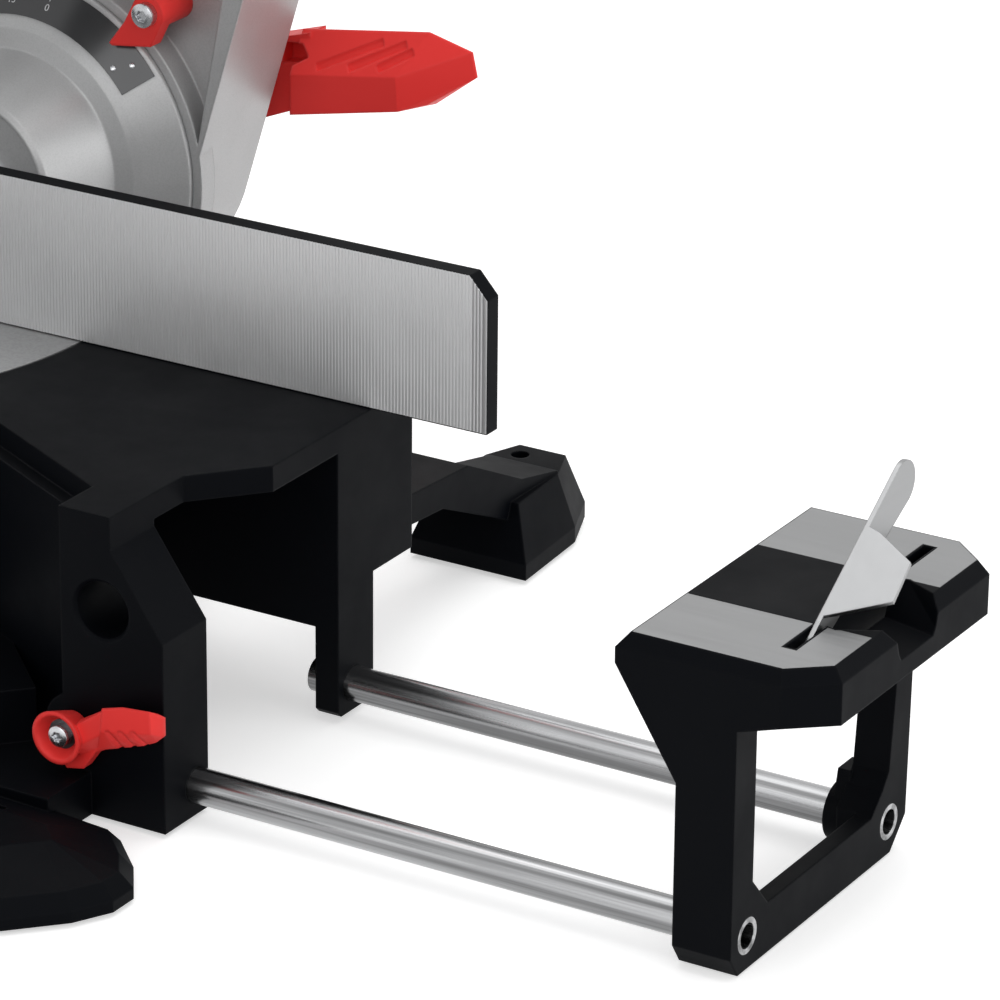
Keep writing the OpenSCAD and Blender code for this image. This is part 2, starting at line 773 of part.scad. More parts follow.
module bevel_pivot_bolt() color(steel) {
    bar_y(hub_y + 1, hub_y + 7, 0, table_h, 15);
    bar_y(hub_y - 4, hub_y + 1, 0, table_h, 12, $fn = 6);
    bar_y(hub_y + 6, arm_back + 44, 0, table_h, bevel_bolt_d / 2);
}

module mitre_lock_knob() color(red) translate([0, -nose_y, lock_z]) difference() {
    union() {
        scalloped_grip(27, -44, -14, 8);
        bar_y(-14, -face_gap, 0, 0, 15);
    }
    bar_y(-30, 1, 0, 0, lock_rod_d / 2);
}

module mitre_lock_rod() color(steel) {
    bar_y(-nose_y - 30, -ring_r - face_gap, 0, lock_z, lock_rod_d / 2);
}

// Lever under the nose that lifts the detent pin out of its notch
module detent_lever() color(red) translate([0, -nose_y + 14, table_h - nose_d + 7]) {
    side(-11, 11) polygon([
        [12, -5], [12, 3], [-5, 4.5], [-15, -12], [-26, -24], [-58, -26], [-60, -30], [-24, -30], [-6, -14], [-2, -5]
    ]);
    bar_x(-nose_w + 9, nose_w - 9, 0, 0, 3 - run_gap);
}

// Tilt arm

function arm_side(h) = (arm_r + sin(arm_lean) * h) / cos(arm_lean);

// The left side is cut back, so that the tilted arm clears the fence
module arm_outline() {
    hull() {
        circle(r = arm_r);
        translate([arm_side(120) - 1, 118]) square([1, 2]);
        translate([slide_x + 20, slide_h - 18]) square([14, 2]);
        translate([4 - slide_x, slide_h - 18]) square([10, 2]);
    }
}

// Front pocket between the round ring and the side ridge
module arm_pocket() {
    difference() {
        polygon([
            [arm_side(16) - 2, 16], [arm_side(96) - 11, 96], [arm_side(118) - 15, 118],
            [slide_x + 16, slide_h - 44], [34, slide_h - 44], [34, 80]
        ]);
        circle(r = trunnion_r + 5);
    }
}

module tilt_arm() color(alloy) difference() {
    union() {
        translate([0, arm_back, table_h]) rotate([90, 0, 0]) mirror([0, 0, 1])
            translate([0, 0, -arm_d]) linear_extrude(arm_d, scale = 0.935) arm_outline();
        bar_y(part_y + face_gap, part_y + 12, 0, table_h, trunnion_r + 5);
        front(part_y + face_gap, block_back) translate([0, slide_z]) offset(r = 12)
            square([2 * slide_x + 20, 20], center = true);
        bar_y(arm_back - 1, arm_back + 4, 0, table_h, 30);
        bar_x(slide_x + 20, slide_x + 44, arm_back - arm_d / 2, slide_z, 11);
    }
    translate([0, 0, table_h]) front(part_y, part_y + face_gap + pocket_d) arm_pocket();
    bar_y(part_y - 1, block_back, 0, table_h, bevel_bolt_d / 2 + run_gap);
    both() bar_y(part_y - 1, block_back + 1, slide_x, slide_z, slide_r + bush_t);
    bar_x(slide_x, slide_x + 50, arm_back - arm_d / 2, slide_z, 4 + run_gap);
    front(arm_back - 40, arm_back + 1) translate([0, table_h]) difference() {
        hull() {
            translate([0, 58]) circle(r = 34);
            translate([10, slide_h - 66]) square([80, 20], center = true);
        }
        circle(r = 44);
    }
}

module slide_bushes() color("#b89a5a") both() for (y = [part_y + face_gap, block_back - 26]) {
    difference() {
        bar_y(y, y + 26, slide_x, slide_z, slide_r + bush_t);
        bar_y(y - 1, y + 27, slide_x, slide_z, slide_r + run_gap);
    }
}

pointer_x = 75.5;
pointer_z = table_h + 87.6;
pointer_y = part_y - 13;

// Red pointer on the pocket floor; its broad tip hovers over the conical scale
module bevel_pointer() color(red) difference() {
    union() {
        bar_y(pointer_y, part_y + face_gap + pocket_d, pointer_x, pointer_z, 9);
        front(pointer_y, part_y - 4) translate([pointer_x, pointer_z]) polygon([
            [-7.5, 5], [-13.5, -6.4], [-22.7, -18.4], [-21, -19.6], [1.6, -16.6], [8.6, -3]
        ]);
    }
    translate([pointer_x - 30, pointer_y - 1, pointer_z - 22.5]) rotate([-52, 0, 7]) cube([44, 8, 5.2]);
    bar_y(pointer_y - 1, part_y + 30, pointer_x, pointer_z, 3);
    translate([0, 0, table_h]) turned_y([
        [0, part_y - 15.4], [trunnion_r - 19.2, part_y - 15.4], [trunnion_r + 0.8, part_y - 3.4],
        [trunnion_r + 0.8, part_y + face_gap], [trunnion_r + 5, part_y + face_gap],
        [trunnion_r + 5, part_y + 20], [0, part_y + 20]
    ]);
}

module pointer_screw() color(steel) {
    bar_y(pointer_y - 4, pointer_y, pointer_x, pointer_z, 6);
    bar_y(pointer_y - 1, part_y + face_gap + pocket_d, pointer_x, pointer_z, 3);
}

// Bevel clamp lever behind the arm, a chunky grip on the end of the bevel bolt
module bevel_lever() color(red) translate([0, arm_back + 4, table_h]) difference() {
    union() {
        bar_y(face_gap, 38, 0, 0, 21);
        front(15, 30) polygon([[6, 19], [60, 43], [104, 56], [104, 18], [40, -8], [10, -19]]);
        hull() {
            front(4.7, 5.2) polygon([[98.5, 15.1], [161.6, 27.9], [160.4, 45.3], [98.5, 36]]);
            front(10.7, 11.2) polygon([[175.2, 32.3], [176.9, 49.6], [170, 48]]);
            front(17.7, 18.7) polygon([
                [98.2, 56.4], [171.9, 67.1], [196.7, 61], [199.5, 48.6], [176, 31], [158, 25.5], [98.2, 14]
            ]);
            front(27, 28) polygon([
                [98.2, 48], [165, 57], [186, 53], [188, 46], [170, 34], [155, 29], [98.2, 18]
            ]);
        }
    }
    bar_y(-1, 50, 0, 0, bevel_bolt_d / 2 + run_gap);
    front(2, 24) polygon([[88, 49], [101, 50], [106.5, 45], [97.5, 39.5], [88, 38]]);
    groove([112.7, 6.2, 42.3], [147.4, 13.7, 59.3], 2.6);
    groove([131.6, 6.2, 45.1], [161.1, 13.2, 60.5], 2.6);
    groove([148.6, 6.2, 47.6], [166, 11.2, 58.1], 2.6);
}

module slide_lock_knob() color(black) translate([0, arm_back - arm_d / 2, slide_z]) {
    rotate([0, 0, 90]) scalloped_grip(18, -slide_x - 70, -slide_x - 44 - face_gap, 6);
    bar_x(slide_x + slide_r + face_gap, slide_x + 50, 0, 0, 4);
}

// Slide

module slide_rods() color(steel) both() {
    bar_y(chop_y - 15, block_back + slide_travel + 15, slide_x, slide_z, slide_r);
}

module rod_end_plate() color(black) difference() {
    front(block_back + slide_travel + 3, block_back + slide_travel + 15) translate([0, slide_z]) offset(r = 10)
        square([2 * slide_x + 30, 24], center = true);
    both() bar_y(block_back, block_back + slide_travel + 20, slide_x, slide_z, slide_r);
}

module carrier_ear() {
    hull() {
        translate([chop_y, chop_z]) circle(r = 20);
        translate([chop_y - 17, slide_z - 18]) square([42, 10]);
    }
}

module head_carrier() color(alloy) difference() {
    union() {
        both() {
            bar_y(chop_y - 17, chop_y + 25, slide_x, slide_z, slide_r + 7);
            side(38, 52) carrier_ear();
        }
        slab(-slide_x, slide_x, chop_y - 17, chop_y + 25, slide_z - 19, slide_z - 1);
    }
    both() bar_y(chop_y - 15, chop_y + 30, slide_x, slide_z, slide_r);
    bar_x(-60, 60, chop_y, chop_z, chop_pin_d / 2);
}

module chop_pivot_pin() color(steel) {
    bar_x(-56, 56, chop_y, chop_z, chop_pin_d / 2);
    bar_x(52, 56, chop_y, chop_z, 13);
    bar_x(-56, -52, chop_y, chop_z, 13);
}

// Wire swept along a helix round the pivot pin
spring_turns = 5;
spring_wire = 1.5;
spring_r = 13;
spring_pitch = 3.6;
spring_sides = 6;
spring_rings = spring_turns * 12;
function spring_point(i, k) = let (
    turn = i * 30,
    r = spring_r + spring_wire * cos(k * 60),
    x = 17.5 + spring_pitch * turn / 360 + spring_wire * sin(k * 60)
) [x, r * cos(turn), r * sin(turn)];
echo(spring_gap = spring_pitch - 2 * spring_wire);

module return_spring() color(steel) translate([0, chop_y, chop_z]) polyhedron(
    points = [for (i = [0:spring_rings], k = [0:spring_sides - 1]) spring_point(i, k)],
    faces = concat(
        [for (i = [0:spring_rings - 1], k = [0:spring_sides - 1])
            let (a = i * spring_sides + k, b = i * spring_sides + (k + 1) % spring_sides)
            [a, b, a + spring_sides]],
        [for (i = [0:spring_rings - 1], k = [0:spring_sides - 1])
            let (a = i * spring_sides + k, b = i * spring_sides + (k + 1) % spring_sides)
            [b, b + spring_sides, a + spring_sides]],
        [for (k = [1:spring_sides - 2]) [0, k + 1, k]],
        [for (k = [1:spring_sides - 2])
            let (n = spring_rings * spring_sides) [n, n + k, n + k + 1]]
    )
);

// Head, drawn round the arbor with the head lowered

module guard_half(r) {
    intersection() {
        circle(r = r);
        rotate(-17.5) translate([-2 * r, 0]) square([4 * r, 2 * r]);
    }
}

module upper_guard() color(alloy) raised() difference() {
    union() {
        side(-guard_w, guard_w) guard_half(guard_r + guard_t);
        side(-18, 18) hull() {
            translate([pivot_y, pivot_z]) circle(r = 16);
            translate([62, 88]) circle(r = 34);
        }
        bar_x(-38 + face_gap, 38 - face_gap, pivot_y, pivot_z, 20);
    }
    bar_x(-guard_w + guard_t, guard_w - guard_t, 0, 0, guard_r);
    bar_x(-guard_w - 1, 0, 0, 0, flange_d / 2 + 12);
    bar_x(0, guard_w + 1, 0, 0, boss_d / 2);
    bar_x(-60, 60, pivot_y, pivot_z, chop_pin_d / 2 + run_gap);
    bar_x(16, 38, pivot_y, pivot_z, spring_r + spring_wire + 0.5);
    rotate([-8, 0, 0]) bar_z(guard_r - 8, guard_r + 40, 0, 10, 16.5);
}

module gear_case_outline(grow) {
    hull() {
        circle(r = 42 + grow);
        translate([motor_y, motor_z]) circle(r = motor_r + 2 + grow);
    }
}

module gear_case() color(alloy) raised() difference() {
    union() {
        side(guard_w, motor_x) gear_case_outline(0);
        bar_x(boss_x, guard_w + 1, 0, 0, boss_d / 2);
    }
    bar_x(boss_x - 1, gear_x - 2, 0, 0, arbor_d / 2 + run_gap);
    bar_x(gear_x - 3, motor_x - 8, 0, 0, gear_m * gear_teeth / 2 + 3);
    bar_x(gear_x - 3, motor_x + 1, motor_y, motor_z, gear_m * pinion_teeth / 2 + 3);
    bar_x(motor_x - 9, motor_x - 2, 0, 0, arbor_d / 2 + run_gap);
    bar_y(-60, -32, gear_x + gear_w / 2 + 12, 6, 7 + run_gap);
}

module motor_housing() color(black) raised() translate([0, motor_y, motor_z]) difference() {
    turned_x([
        [12, motor_x], [motor_r + 2, motor_x], [motor_r + 2, motor_x + 14], [motor_r - 1, motor_x + 20],
        [motor_r - 2, motor_end - 26], [motor_r, motor_end - 22], [motor_r, motor_end],
        [motor_r - 4, motor_end], [motor_r - 4, motor_x + 10], [12, motor_x + 10]
    ]);
    for (i = [0:23])
        rotate([i * 15, 0, 0]) slab(motor_x + 36, motor_end - 42, -1.2, 1.2, motor_r - 2.8, motor_r + 3);
    bar_y(-motor_r - 5, motor_r + 5, motor_end - 30, 0, 9);
    for (i = [0:9])
        rotate([i * 36 + 18, 0, 0]) slab(motor_x + 22, motor_x + 31, -5, 5, motor_r - 7, motor_r + 4);
}

module motor_end_cap() color(red) raised() translate([0, motor_y, motor_z]) difference() {
    turned_x([
        [0, motor_end + 26], [26, motor_end + 25], [motor_r - 8, motor_end + 20], [motor_r, motor_end + 10],
        [motor_r, motor_end], [motor_r - 4, motor_end], [motor_r - 4, motor_end + 8], [16, motor_end + 18],
        [16, motor_end + 8], [11, motor_end + 8], [11, motor_end + 16], [0, motor_end + 16]
    ]);
    for (i = [0:11])
        rotate([i * 30, 0, 0]) slab(motor_end + 4, motor_end + 30, -2, 2, 22, motor_r - 7);
}

module brush_caps() color(dark) raised() translate([0, motor_y, motor_z]) for (s = [-1, 1]) difference() {
    bar_y(s > 0 ? motor_r - 6 : -motor_r - 2, s > 0 ? motor_r + 2 : -motor_r + 6, motor_end - 30, 0, 9);
    slab(motor_end - 40, motor_end - 20, s > 0 ? motor_r + 0.5 : -motor_r - 4, s > 0 ? motor_r + 4 : -motor_r - 0.5,
        -1, 1);
}

module grip_outline() {
    difference() {
        hull() {
            translate([-92, 152]) circle(r = 26);
            translate([-206, 132]) circle(r = 24);
            translate([-192, 62]) circle(r = 18);
            translate([-128, 70]) circle(r = 16);
        }
        hull() {
            translate([-122, 118]) circle(r = 11);
            translate([-186, 107]) circle(r = 10);
            translate([-178, 78]) circle(r = 9);
            translate([-150, 82]) circle(r = 9);
        }
    }
}

module grip_solid(x0, x1) {
    difference() {
        side(x0, x1) grip_outline();
        bar_x(-40, 40, 0, 0, guard_r + guard_t + seat_gap);
        side(-6 - face_gap, 6 + face_gap) translate([-182, 110]) square([52, 30]);
    }
}

module handle_shell_left() color(black) raised() {
    grip_solid(-grip_w, 0);
}

module handle_shell_right() color(black) raised() difference() {
    grip_solid(0, grip_w);
    bar_x(8, grip_w + 1, -112, 152, 6 + run_gap);
}

module trigger() color(red) raised() side(-6, 6) polygon([
    [-181, 131], [-131, 131], [-131, 116], [-140, 106], [-168, 102], [-181, 110]
]);

module lock_off_button() color(red) raised() {
    bar_x(8 + button_travel + face_gap, grip_w + 4, -112, 152, 6);
}

module spindle_lock_button() color(black) raised() {
    bar_y(-52, -36, gear_x + gear_w / 2 + 12, 6, 7);
}

module dust_spout() color(black) raised() rotate([-8, 0, 0]) difference() {
    union() {
        bar_z(guard_r - 8, guard_r + 58, 0, 10, 19);
        bar_z(guard_r + 20, guard_r + 24, 0, 10, 22);
    }
    bar_z(guard_r - 9, guard_r + 60, 0, 10, 16.5);
    bar_x(-40, 40, 0, 0, guard_r + guard_t + seat_gap);
}

module stator() color("#7a4a2a") raised() translate([0, motor_y, motor_z]) difference() {
    bar_x(motor_x + 30, motor_x + 88, 0, 0, motor_r - 4);
    bar_x(motor_x + 29, motor_x + 89, 0, 0, 29);
}

module motor_bearings() color(steel) raised() translate([0, motor_y, motor_z])
    for (x = [motor_x + 1, motor_end + 8]) difference() {
        bar_x(x, x + 7, 0, 0, 11);
        bar_x(x - 1, x + 8, 0, 0, shaft_d / 2 + run_gap);
    }

// Involute spur gear outline
gear_pa = 25;
function inv(a) = tan(a) * 180 / PI - a;
function flank(rb, r) = inv(acos(min(1, rb / r)));

module spur_outline(teeth, backlash) {
    r = gear_m * teeth / 2;
    rb = r * cos(gear_pa);
    ra = r + gear_m;
    rf = r - 1.25 * gear_m;
    half = 90 / teeth - backlash / r * 90 / PI + inv(gear_pa);
    low = max(rb, rf);
    radii = [for (i = [0:5]) low + (ra - low) * i / 5];
    polygon([for (t = [0:teeth - 1]) each concat(
        [rf * [cos(t * 360 / teeth - half), sin(t * 360 / teeth - half)]],
        [for (q = radii)
            let (a = t * 360 / teeth - half + flank(rb, q)) q * [cos(a), sin(a)]],
        [for (i = [5:-1:0])
            let (a = t * 360 / teeth + half - flank(rb, radii[i])) radii[i] * [cos(a), sin(a)]],
        [rf * [cos(t * 360 / teeth + half), sin(t * 360 / teeth + half)]]
    )]);
}

module drive_gear() color(steel) raised() difference() {
    side(gear_x, gear_x + gear_w) rotate(motor_tilt) spur_outline(gear_teeth, 0.2);
    bar_x(gear_x - 1, gear_x + gear_w + 1, 0, 0, arbor_d / 2);
}

module armature() color(steel) raised() translate([0, motor_y, motor_z]) {
    side(gear_x - 0.5, gear_x + gear_w + 0.5) rotate(motor_tilt + 180 + 180 / pinion_teeth)
        spur_outline(pinion_teeth, 0.2);
    bar_x(gear_x + gear_w, motor_end + 15, 0, 0, shaft_d / 2);
    bar_x(motor_x + 32, motor_x + 86, 0, 0, 28);
    bar_x(motor_x + 96, motor_x + 118, 0, 0, 15);
}

module cooling_fan() color(dark) raised() translate([0, motor_y, motor_z]) difference() {
    union() {
        bar_x(motor_x + 14, motor_x + 17, 0, 0, motor_r - 9);
        bar_x(motor_x + 14, motor_x + 26, 0, 0, shaft_d / 2 + 6);
        for (i = [0:8])
            rotate([i * 40, 0, 0]) slab(motor_x + 16, motor_x + 26, -1.2, 1.2, shaft_d / 2 + 4, motor_r - 10);
    }
    bar_x(motor_x + 12, motor_x + 28, 0, 0, shaft_d / 2);
}

module saw_blade() color(steel) raised() side(-blade_t / 2, blade_t / 2) difference() {
    r = blade_d / 2;
    p = 360 / blade_teeth;
    polygon([for (i = [0:blade_teeth - 1]) each [
        r * [cos(i * p), sin(i * p)],
        (r - 2) * [cos((i + 0.42) * p), sin((i + 0.42) * p)],
        (r - 9) * [cos((i + 0.66) * p), sin((i + 0.66) * p)],
        (r - 10) * [cos((i + 0.88) * p), sin((i + 0.88) * p)]
    ]]);
    circle(r = arbor_d / 2);
    for (i = [0:3])
        rotate(i * 90 + 4.5) translate([r - 26, -0.8]) square([18, 1.6]);
}

module arbor() color(steel) raised() {
    bar_x(-flange_d / 8 - blade_t / 2, motor_x - 3, 0, 0, arbor_d / 2);
}

module blade_flanges() color(steel) raised() for (s = [-1, 1]) difference() {
    bar_x(s > 0 ? blade_t / 2 : -blade_t / 2 - 5, s > 0 ? blade_t / 2 + 5 : -blade_t / 2, 0, 0, flange_d / 2);
    bar_x(-20, 20, 0, 0, arbor_d / 2);
}

module arbor_bolt() color(dark) raised() {
    bar_x(-flange_d / 8 - blade_t / 2 - 3, -flange_d / 8 - blade_t / 2, 0, 0, 11);
    bar_x(-flange_d / 8 - blade_t / 2 - 9, -flange_d / 8 - blade_t / 2 - 3, 0, 0, 9.5, $fn = 6);
}

// Lower guard: two cheeks and a rim round the lower half of the blade, turning on the gear case boss
module shield_sector(r) {
    intersection() {
        circle(r = r);
        rotate(-22) translate([-2 * r, -2 * r]) square([4 * r, 2 * r]);
    }
}

module lower_guard() color(clear) raised() {
    side(shield_w - shield_t, shield_w) difference() {
        union() {
            shield_sector(shield_r);
            circle(r = boss_d / 2 + 10);
        }
        circle(r = boss_d / 2 + run_gap);
    }
    side(-shield_w, -shield_w + shield_t) difference() {
        shield_sector(shield_r);
        circle(r = flange_d / 2 + 20);
    }
    side(-shield_w + shield_t - 0.01, shield_w - shield_t + 0.01) difference() {
        shield_sector(shield_r);
        circle(r = shield_r - shield_t);
    }
}

base_casting();
rubber_feet();
mitre_pivot_bolt();
mitre_scale();
fence_right();
fence_left();
lever_screws();
sliding_fence();
fence_knob();
extension_frame_right();
extension_tubes_right();
wear_plates_right();
flip_stop_right();
lock_lever_right();
extension_frame_left();
extension_tubes_left();
wear_plates_left();
flip_stop_left();
lock_lever_left();
turntable();
table_plates();
kerf_inserts();
mitre_pointer();
bevel_scale();
bevel_pivot_bolt();
mitre_lock_knob();
mitre_lock_rod();
detent_lever();
tilt_arm();
slide_bushes();
bevel_pointer();
pointer_screw();
bevel_lever();
slide_lock_knob();
slide_rods();
rod_end_plate();
head_carrier();
chop_pivot_pin();
return_spring();
upper_guard();
gear_case();
motor_housing();
motor_end_cap();
brush_caps();
handle_shell_left();
handle_shell_right();
dust_spout();
stator();
motor_bearings();
trigger();
lock_off_button();
spindle_lock_button();
lower_guard();
armature();
cooling_fan();
saw_blade();
arbor();
blade_flanges();
arbor_bolt();
drive_gear();
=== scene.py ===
import json
import math

import bmesh
import bpy
from mathutils import Matrix, Vector
from mathutils.bvhtree import BVHTree


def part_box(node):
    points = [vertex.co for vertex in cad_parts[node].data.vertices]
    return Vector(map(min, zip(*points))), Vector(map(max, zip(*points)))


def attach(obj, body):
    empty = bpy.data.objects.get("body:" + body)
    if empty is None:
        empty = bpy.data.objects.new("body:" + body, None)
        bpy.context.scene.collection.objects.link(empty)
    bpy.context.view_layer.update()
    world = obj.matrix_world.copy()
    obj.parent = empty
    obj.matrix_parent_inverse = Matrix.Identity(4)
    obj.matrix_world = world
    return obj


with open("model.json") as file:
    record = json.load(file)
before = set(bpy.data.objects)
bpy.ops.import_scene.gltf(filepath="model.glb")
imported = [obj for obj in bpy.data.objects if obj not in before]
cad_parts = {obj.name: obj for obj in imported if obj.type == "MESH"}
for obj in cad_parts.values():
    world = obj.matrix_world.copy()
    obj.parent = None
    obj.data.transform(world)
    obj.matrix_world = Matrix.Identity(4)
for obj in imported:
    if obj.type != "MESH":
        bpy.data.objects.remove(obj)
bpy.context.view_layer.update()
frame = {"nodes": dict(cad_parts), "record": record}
nodes = frame["nodes"]
scene = bpy.context.scene
scene.view_settings.view_transform = "Standard"
print("frame loaded:", len(nodes), "nodes")

# Places read from the frame
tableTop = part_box("kerf_inserts")[1].z
bodyOf = {
    member: body
    for body, members in frame["record"]["behaviour"]["bodies"].items()
    for member in members
}


# Small helpers for node trees

def addNode(tree, kind, inputs=None, **settings):
    node = tree.nodes.new(kind)
    for key, value in settings.items():
        setattr(node, key, value)
    for key, value in (inputs or {}).items():
        node.inputs[key].default_value = value
    return node


def link(tree, source, output, target, socket):
    tree.links.new(source.outputs[output], target.inputs[socket])


def mathNode(tree, operation, first, second=None):
    node = addNode(tree, "ShaderNodeMath", operation=operation)
    for socket, value in enumerate((first, second)):
        if value is None:
            continue
        if isinstance(value, (int, float)):
            node.inputs[socket].default_value = value
        else:
            tree.links.new(value, node.inputs[socket])
    return node.outputs[0]


def newGroup(name, inputs, outputs):
    tree = bpy.data.node_groups.new(name, "ShaderNodeTree")
    for label, kind, value in inputs:
        socket = tree.interface.new_socket(label, in_out="INPUT", socket_type=kind)
        socket.default_value = value
    for label, kind in outputs:
        tree.interface.new_socket(label, in_out="OUTPUT", socket_type=kind)
    return tree, tree.nodes.new("NodeGroupInput"), tree.nodes.new("NodeGroupOutput")


def placeGroup(tree, group, **values):
    node = tree.nodes.new("ShaderNodeGroup")
    node.node_tree = group
    for label, value in values.items():
        node.inputs[label].default_value = value
    return node


def buildSoftEdges():  # rounded edges and a fine skin, as one normal
    tree, inside, outside = newGroup(
        "softEdges",
        [("Radius", "NodeSocketFloat", 0.001), ("Scale", "NodeSocketFloat", 900.0),
         ("Height", "NodeSocketFloat", 0.00002)],
        [("Normal", "NodeSocketVector")],
    )
    bevel = addNode(tree, "ShaderNodeBevel", samples=6)
    coords = addNode(tree, "ShaderNodeTexCoord")
    noise = addNode(tree, "ShaderNodeTexNoise", {"Detail": 3.0, "Roughness": 0.6})
    bump = addNode(tree, "ShaderNodeBump", {"Strength": 1.0})
    link(tree, inside, "Radius", bevel, "Radius")
    link(tree, coords, "Object", noise, "Vector")
    link(tree, inside, "Scale", noise, "Scale")
    link(tree, inside, "Height", bump, "Distance")
    link(tree, noise, "Fac", bump, "Height")
    link(tree, bevel, "Normal", bump, "Normal")
    link(tree, bump, "Normal", outside, "Normal")
    return tree


wearContrast = dict(grain=2.0, gain=14.0)


def buildEdgeWear(settings):  # a broken mask along the edges
    tree, inside, outside = newGroup(
        "edgeWear",
        [("Radius", "NodeSocketFloat", 0.0012), ("Amount", "NodeSocketFloat", 0.4)],
        [("Mask", "NodeSocketFloat")],
    )
    bevel = addNode(tree, "ShaderNodeBevel", samples=4)
    facing = addNode(tree, "ShaderNodeNewGeometry")
    dot = addNode(tree, "ShaderNodeVectorMath", operation="DOT_PRODUCT")
    coords = addNode(tree, "ShaderNodeTexCoord")
    noise = addNode(tree, "ShaderNodeTexNoise", {"Scale": 60.0, "Detail": 6.0, "Roughness": 0.7})
    link(tree, inside, "Radius", bevel, "Radius")
    link(tree, bevel, "Normal", dot, 0)
    link(tree, facing, "Normal", dot, 1)
    link(tree, coords, "Object", noise, "Vector")
    away = mathNode(tree, "SUBTRACT", 1.0, dot.outputs["Value"])
    patches = mathNode(tree, "POWER", noise.outputs["Fac"], settings["grain"])
    broken = mathNode(tree, "MULTIPLY", away, patches)
    gain = mathNode(tree, "MULTIPLY", inside.outputs["Amount"], settings["gain"])
    scaled = mathNode(tree, "MULTIPLY", broken, gain)
    tree.links.new(mathNode(tree, "MINIMUM", scaled, 1.0), outside.inputs["Mask"])
    return tree


def buildHandling():  # slow change of gloss over a surface
    tree, inside, outside = newGroup(
        "handling",
        [("Low", "NodeSocketFloat", 0.35), ("High", "NodeSocketFloat", 0.5),
         ("Scale", "NodeSocketFloat", 25.0)],
        [("Gloss", "NodeSocketFloat")],
    )
    coords = addNode(tree, "ShaderNodeTexCoord")
    noise = addNode(tree, "ShaderNodeTexNoise", {"Detail": 5.0, "Roughness": 0.65})
    spread = addNode(tree, "ShaderNodeMapRange", {"From Min": 0.3, "From Max": 0.7})
    link(tree, coords, "Object", noise, "Vector")
    link(tree, inside, "Scale", noise, "Scale")
    link(tree, noise, "Fac", spread, "Value")
    link(tree, inside, "Low", spread, "To Min")
    link(tree, inside, "High", spread, "To Max")
    link(tree, spread, "Result", outside, "Gloss")
    return tree


def buildSettledDust():  # thin dust on faces that look up
    tree, inside, outside = newGroup(
        "settledDust", [("Amount", "NodeSocketFloat", 0.1)], [("Mask", "NodeSocketFloat")]
    )
    facing = addNode(tree, "ShaderNodeNewGeometry")
    split = addNode(tree, "ShaderNodeSeparateXYZ")
    coords = addNode(tree, "ShaderNodeTexCoord")
    noise = addNode(tree, "ShaderNodeTexNoise", {"Scale": 35.0, "Detail": 8.0, "Roughness": 0.75})
    link(tree, facing, "Normal", split, "Vector")
    link(tree, coords, "Object", noise, "Vector")
    upward = mathNode(tree, "POWER", mathNode(tree, "MAXIMUM", split.outputs["Z"], 0.0), 4.0)
    speck = mathNode(tree, "MULTIPLY", upward, noise.outputs["Fac"])
    tree.links.new(mathNode(tree, "MULTIPLY", speck, inside.outputs["Amount"]), outside.inputs["Mask"])
    return tree


def buildDrawnStreaks():  # lines left by drawing, brushing or turning
    tree, inside, outside = newGroup(
        "drawnStreaks",
        [("Stretch", "NodeSocketVector", (6.0, 900.0, 900.0)), ("Low", "NodeSocketFloat", 0.15),
         ("High", "NodeSocketFloat", 0.35)],
        [("Gloss", "NodeSocketFloat"), ("Height", "NodeSocketFloat")],
    )
    coords = addNode(tree, "ShaderNodeTexCoord")
    stretch = addNode(tree, "ShaderNodeVectorMath", operation="MULTIPLY")
    noise = addNode(tree, "ShaderNodeTexNoise", {"Scale": 1.0, "Detail": 4.0, "Roughness": 0.6})
    spread = addNode(tree, "ShaderNodeMapRange", {"From Min": 0.3, "From Max": 0.7})
    link(tree, coords, "Object", stretch, 0)
    link(tree, inside, "Stretch", stretch, 1)
    link(tree, stretch, "Vector", noise, "Vector")
    link(tree, noise, "Fac", spread, "Value")
    link(tree, inside, "Low", spread, "To Min")
    link(tree, inside, "High", spread, "To Max")
    link(tree, spread, "Result", outside, "Gloss")
    link(tree, noise, "Fac", outside, "Height")
    return tree


softEdges = buildSoftEdges()
edgeWear = buildEdgeWear(wearContrast)
handling = buildHandling()
settledDust = buildSettledDust()
drawnStreaks = buildDrawnStreaks()
print("node groups ready")


# Finishes

def startMaterial(name, settings):
    material = bpy.data.materials.new(name)
    material.use_nodes = True
    tree = material.node_tree
    tree.nodes.clear()
    output = tree.nodes.new("ShaderNodeOutputMaterial")
    shader = tree.nodes.new("ShaderNodeBsdfPrincipled")
    link(tree, shader, "BSDF", output, "Surface")
    shader.inputs["Base Color"].default_value = (*settings["color"], 1.0)
    shader.inputs["Metallic"].default_value = settings.get("metallic", 0.0)
    shader.inputs["Specular IOR Level"].default_value = settings.get("specular", 0.5)
    shader.inputs["IOR"].default_value = settings.get("ior", 1.5)
    return material, tree, shader


def mixColor(tree, mask, first, second):
    mix = addNode(tree, "ShaderNodeMix", data_type="RGBA")
    tree.links.new(mask, mix.inputs["Factor"])
    for socket, value in ((6, first), (7, second)):
        if isinstance(value, tuple):
            mix.inputs[socket].default_value = (*value, 1.0)
        else:
            tree.links.new(value, mix.inputs[socket])
    return mix.outputs[2]


coating = dict(wearReach=1.3, dustColor=(0.42, 0.39, 0.35))


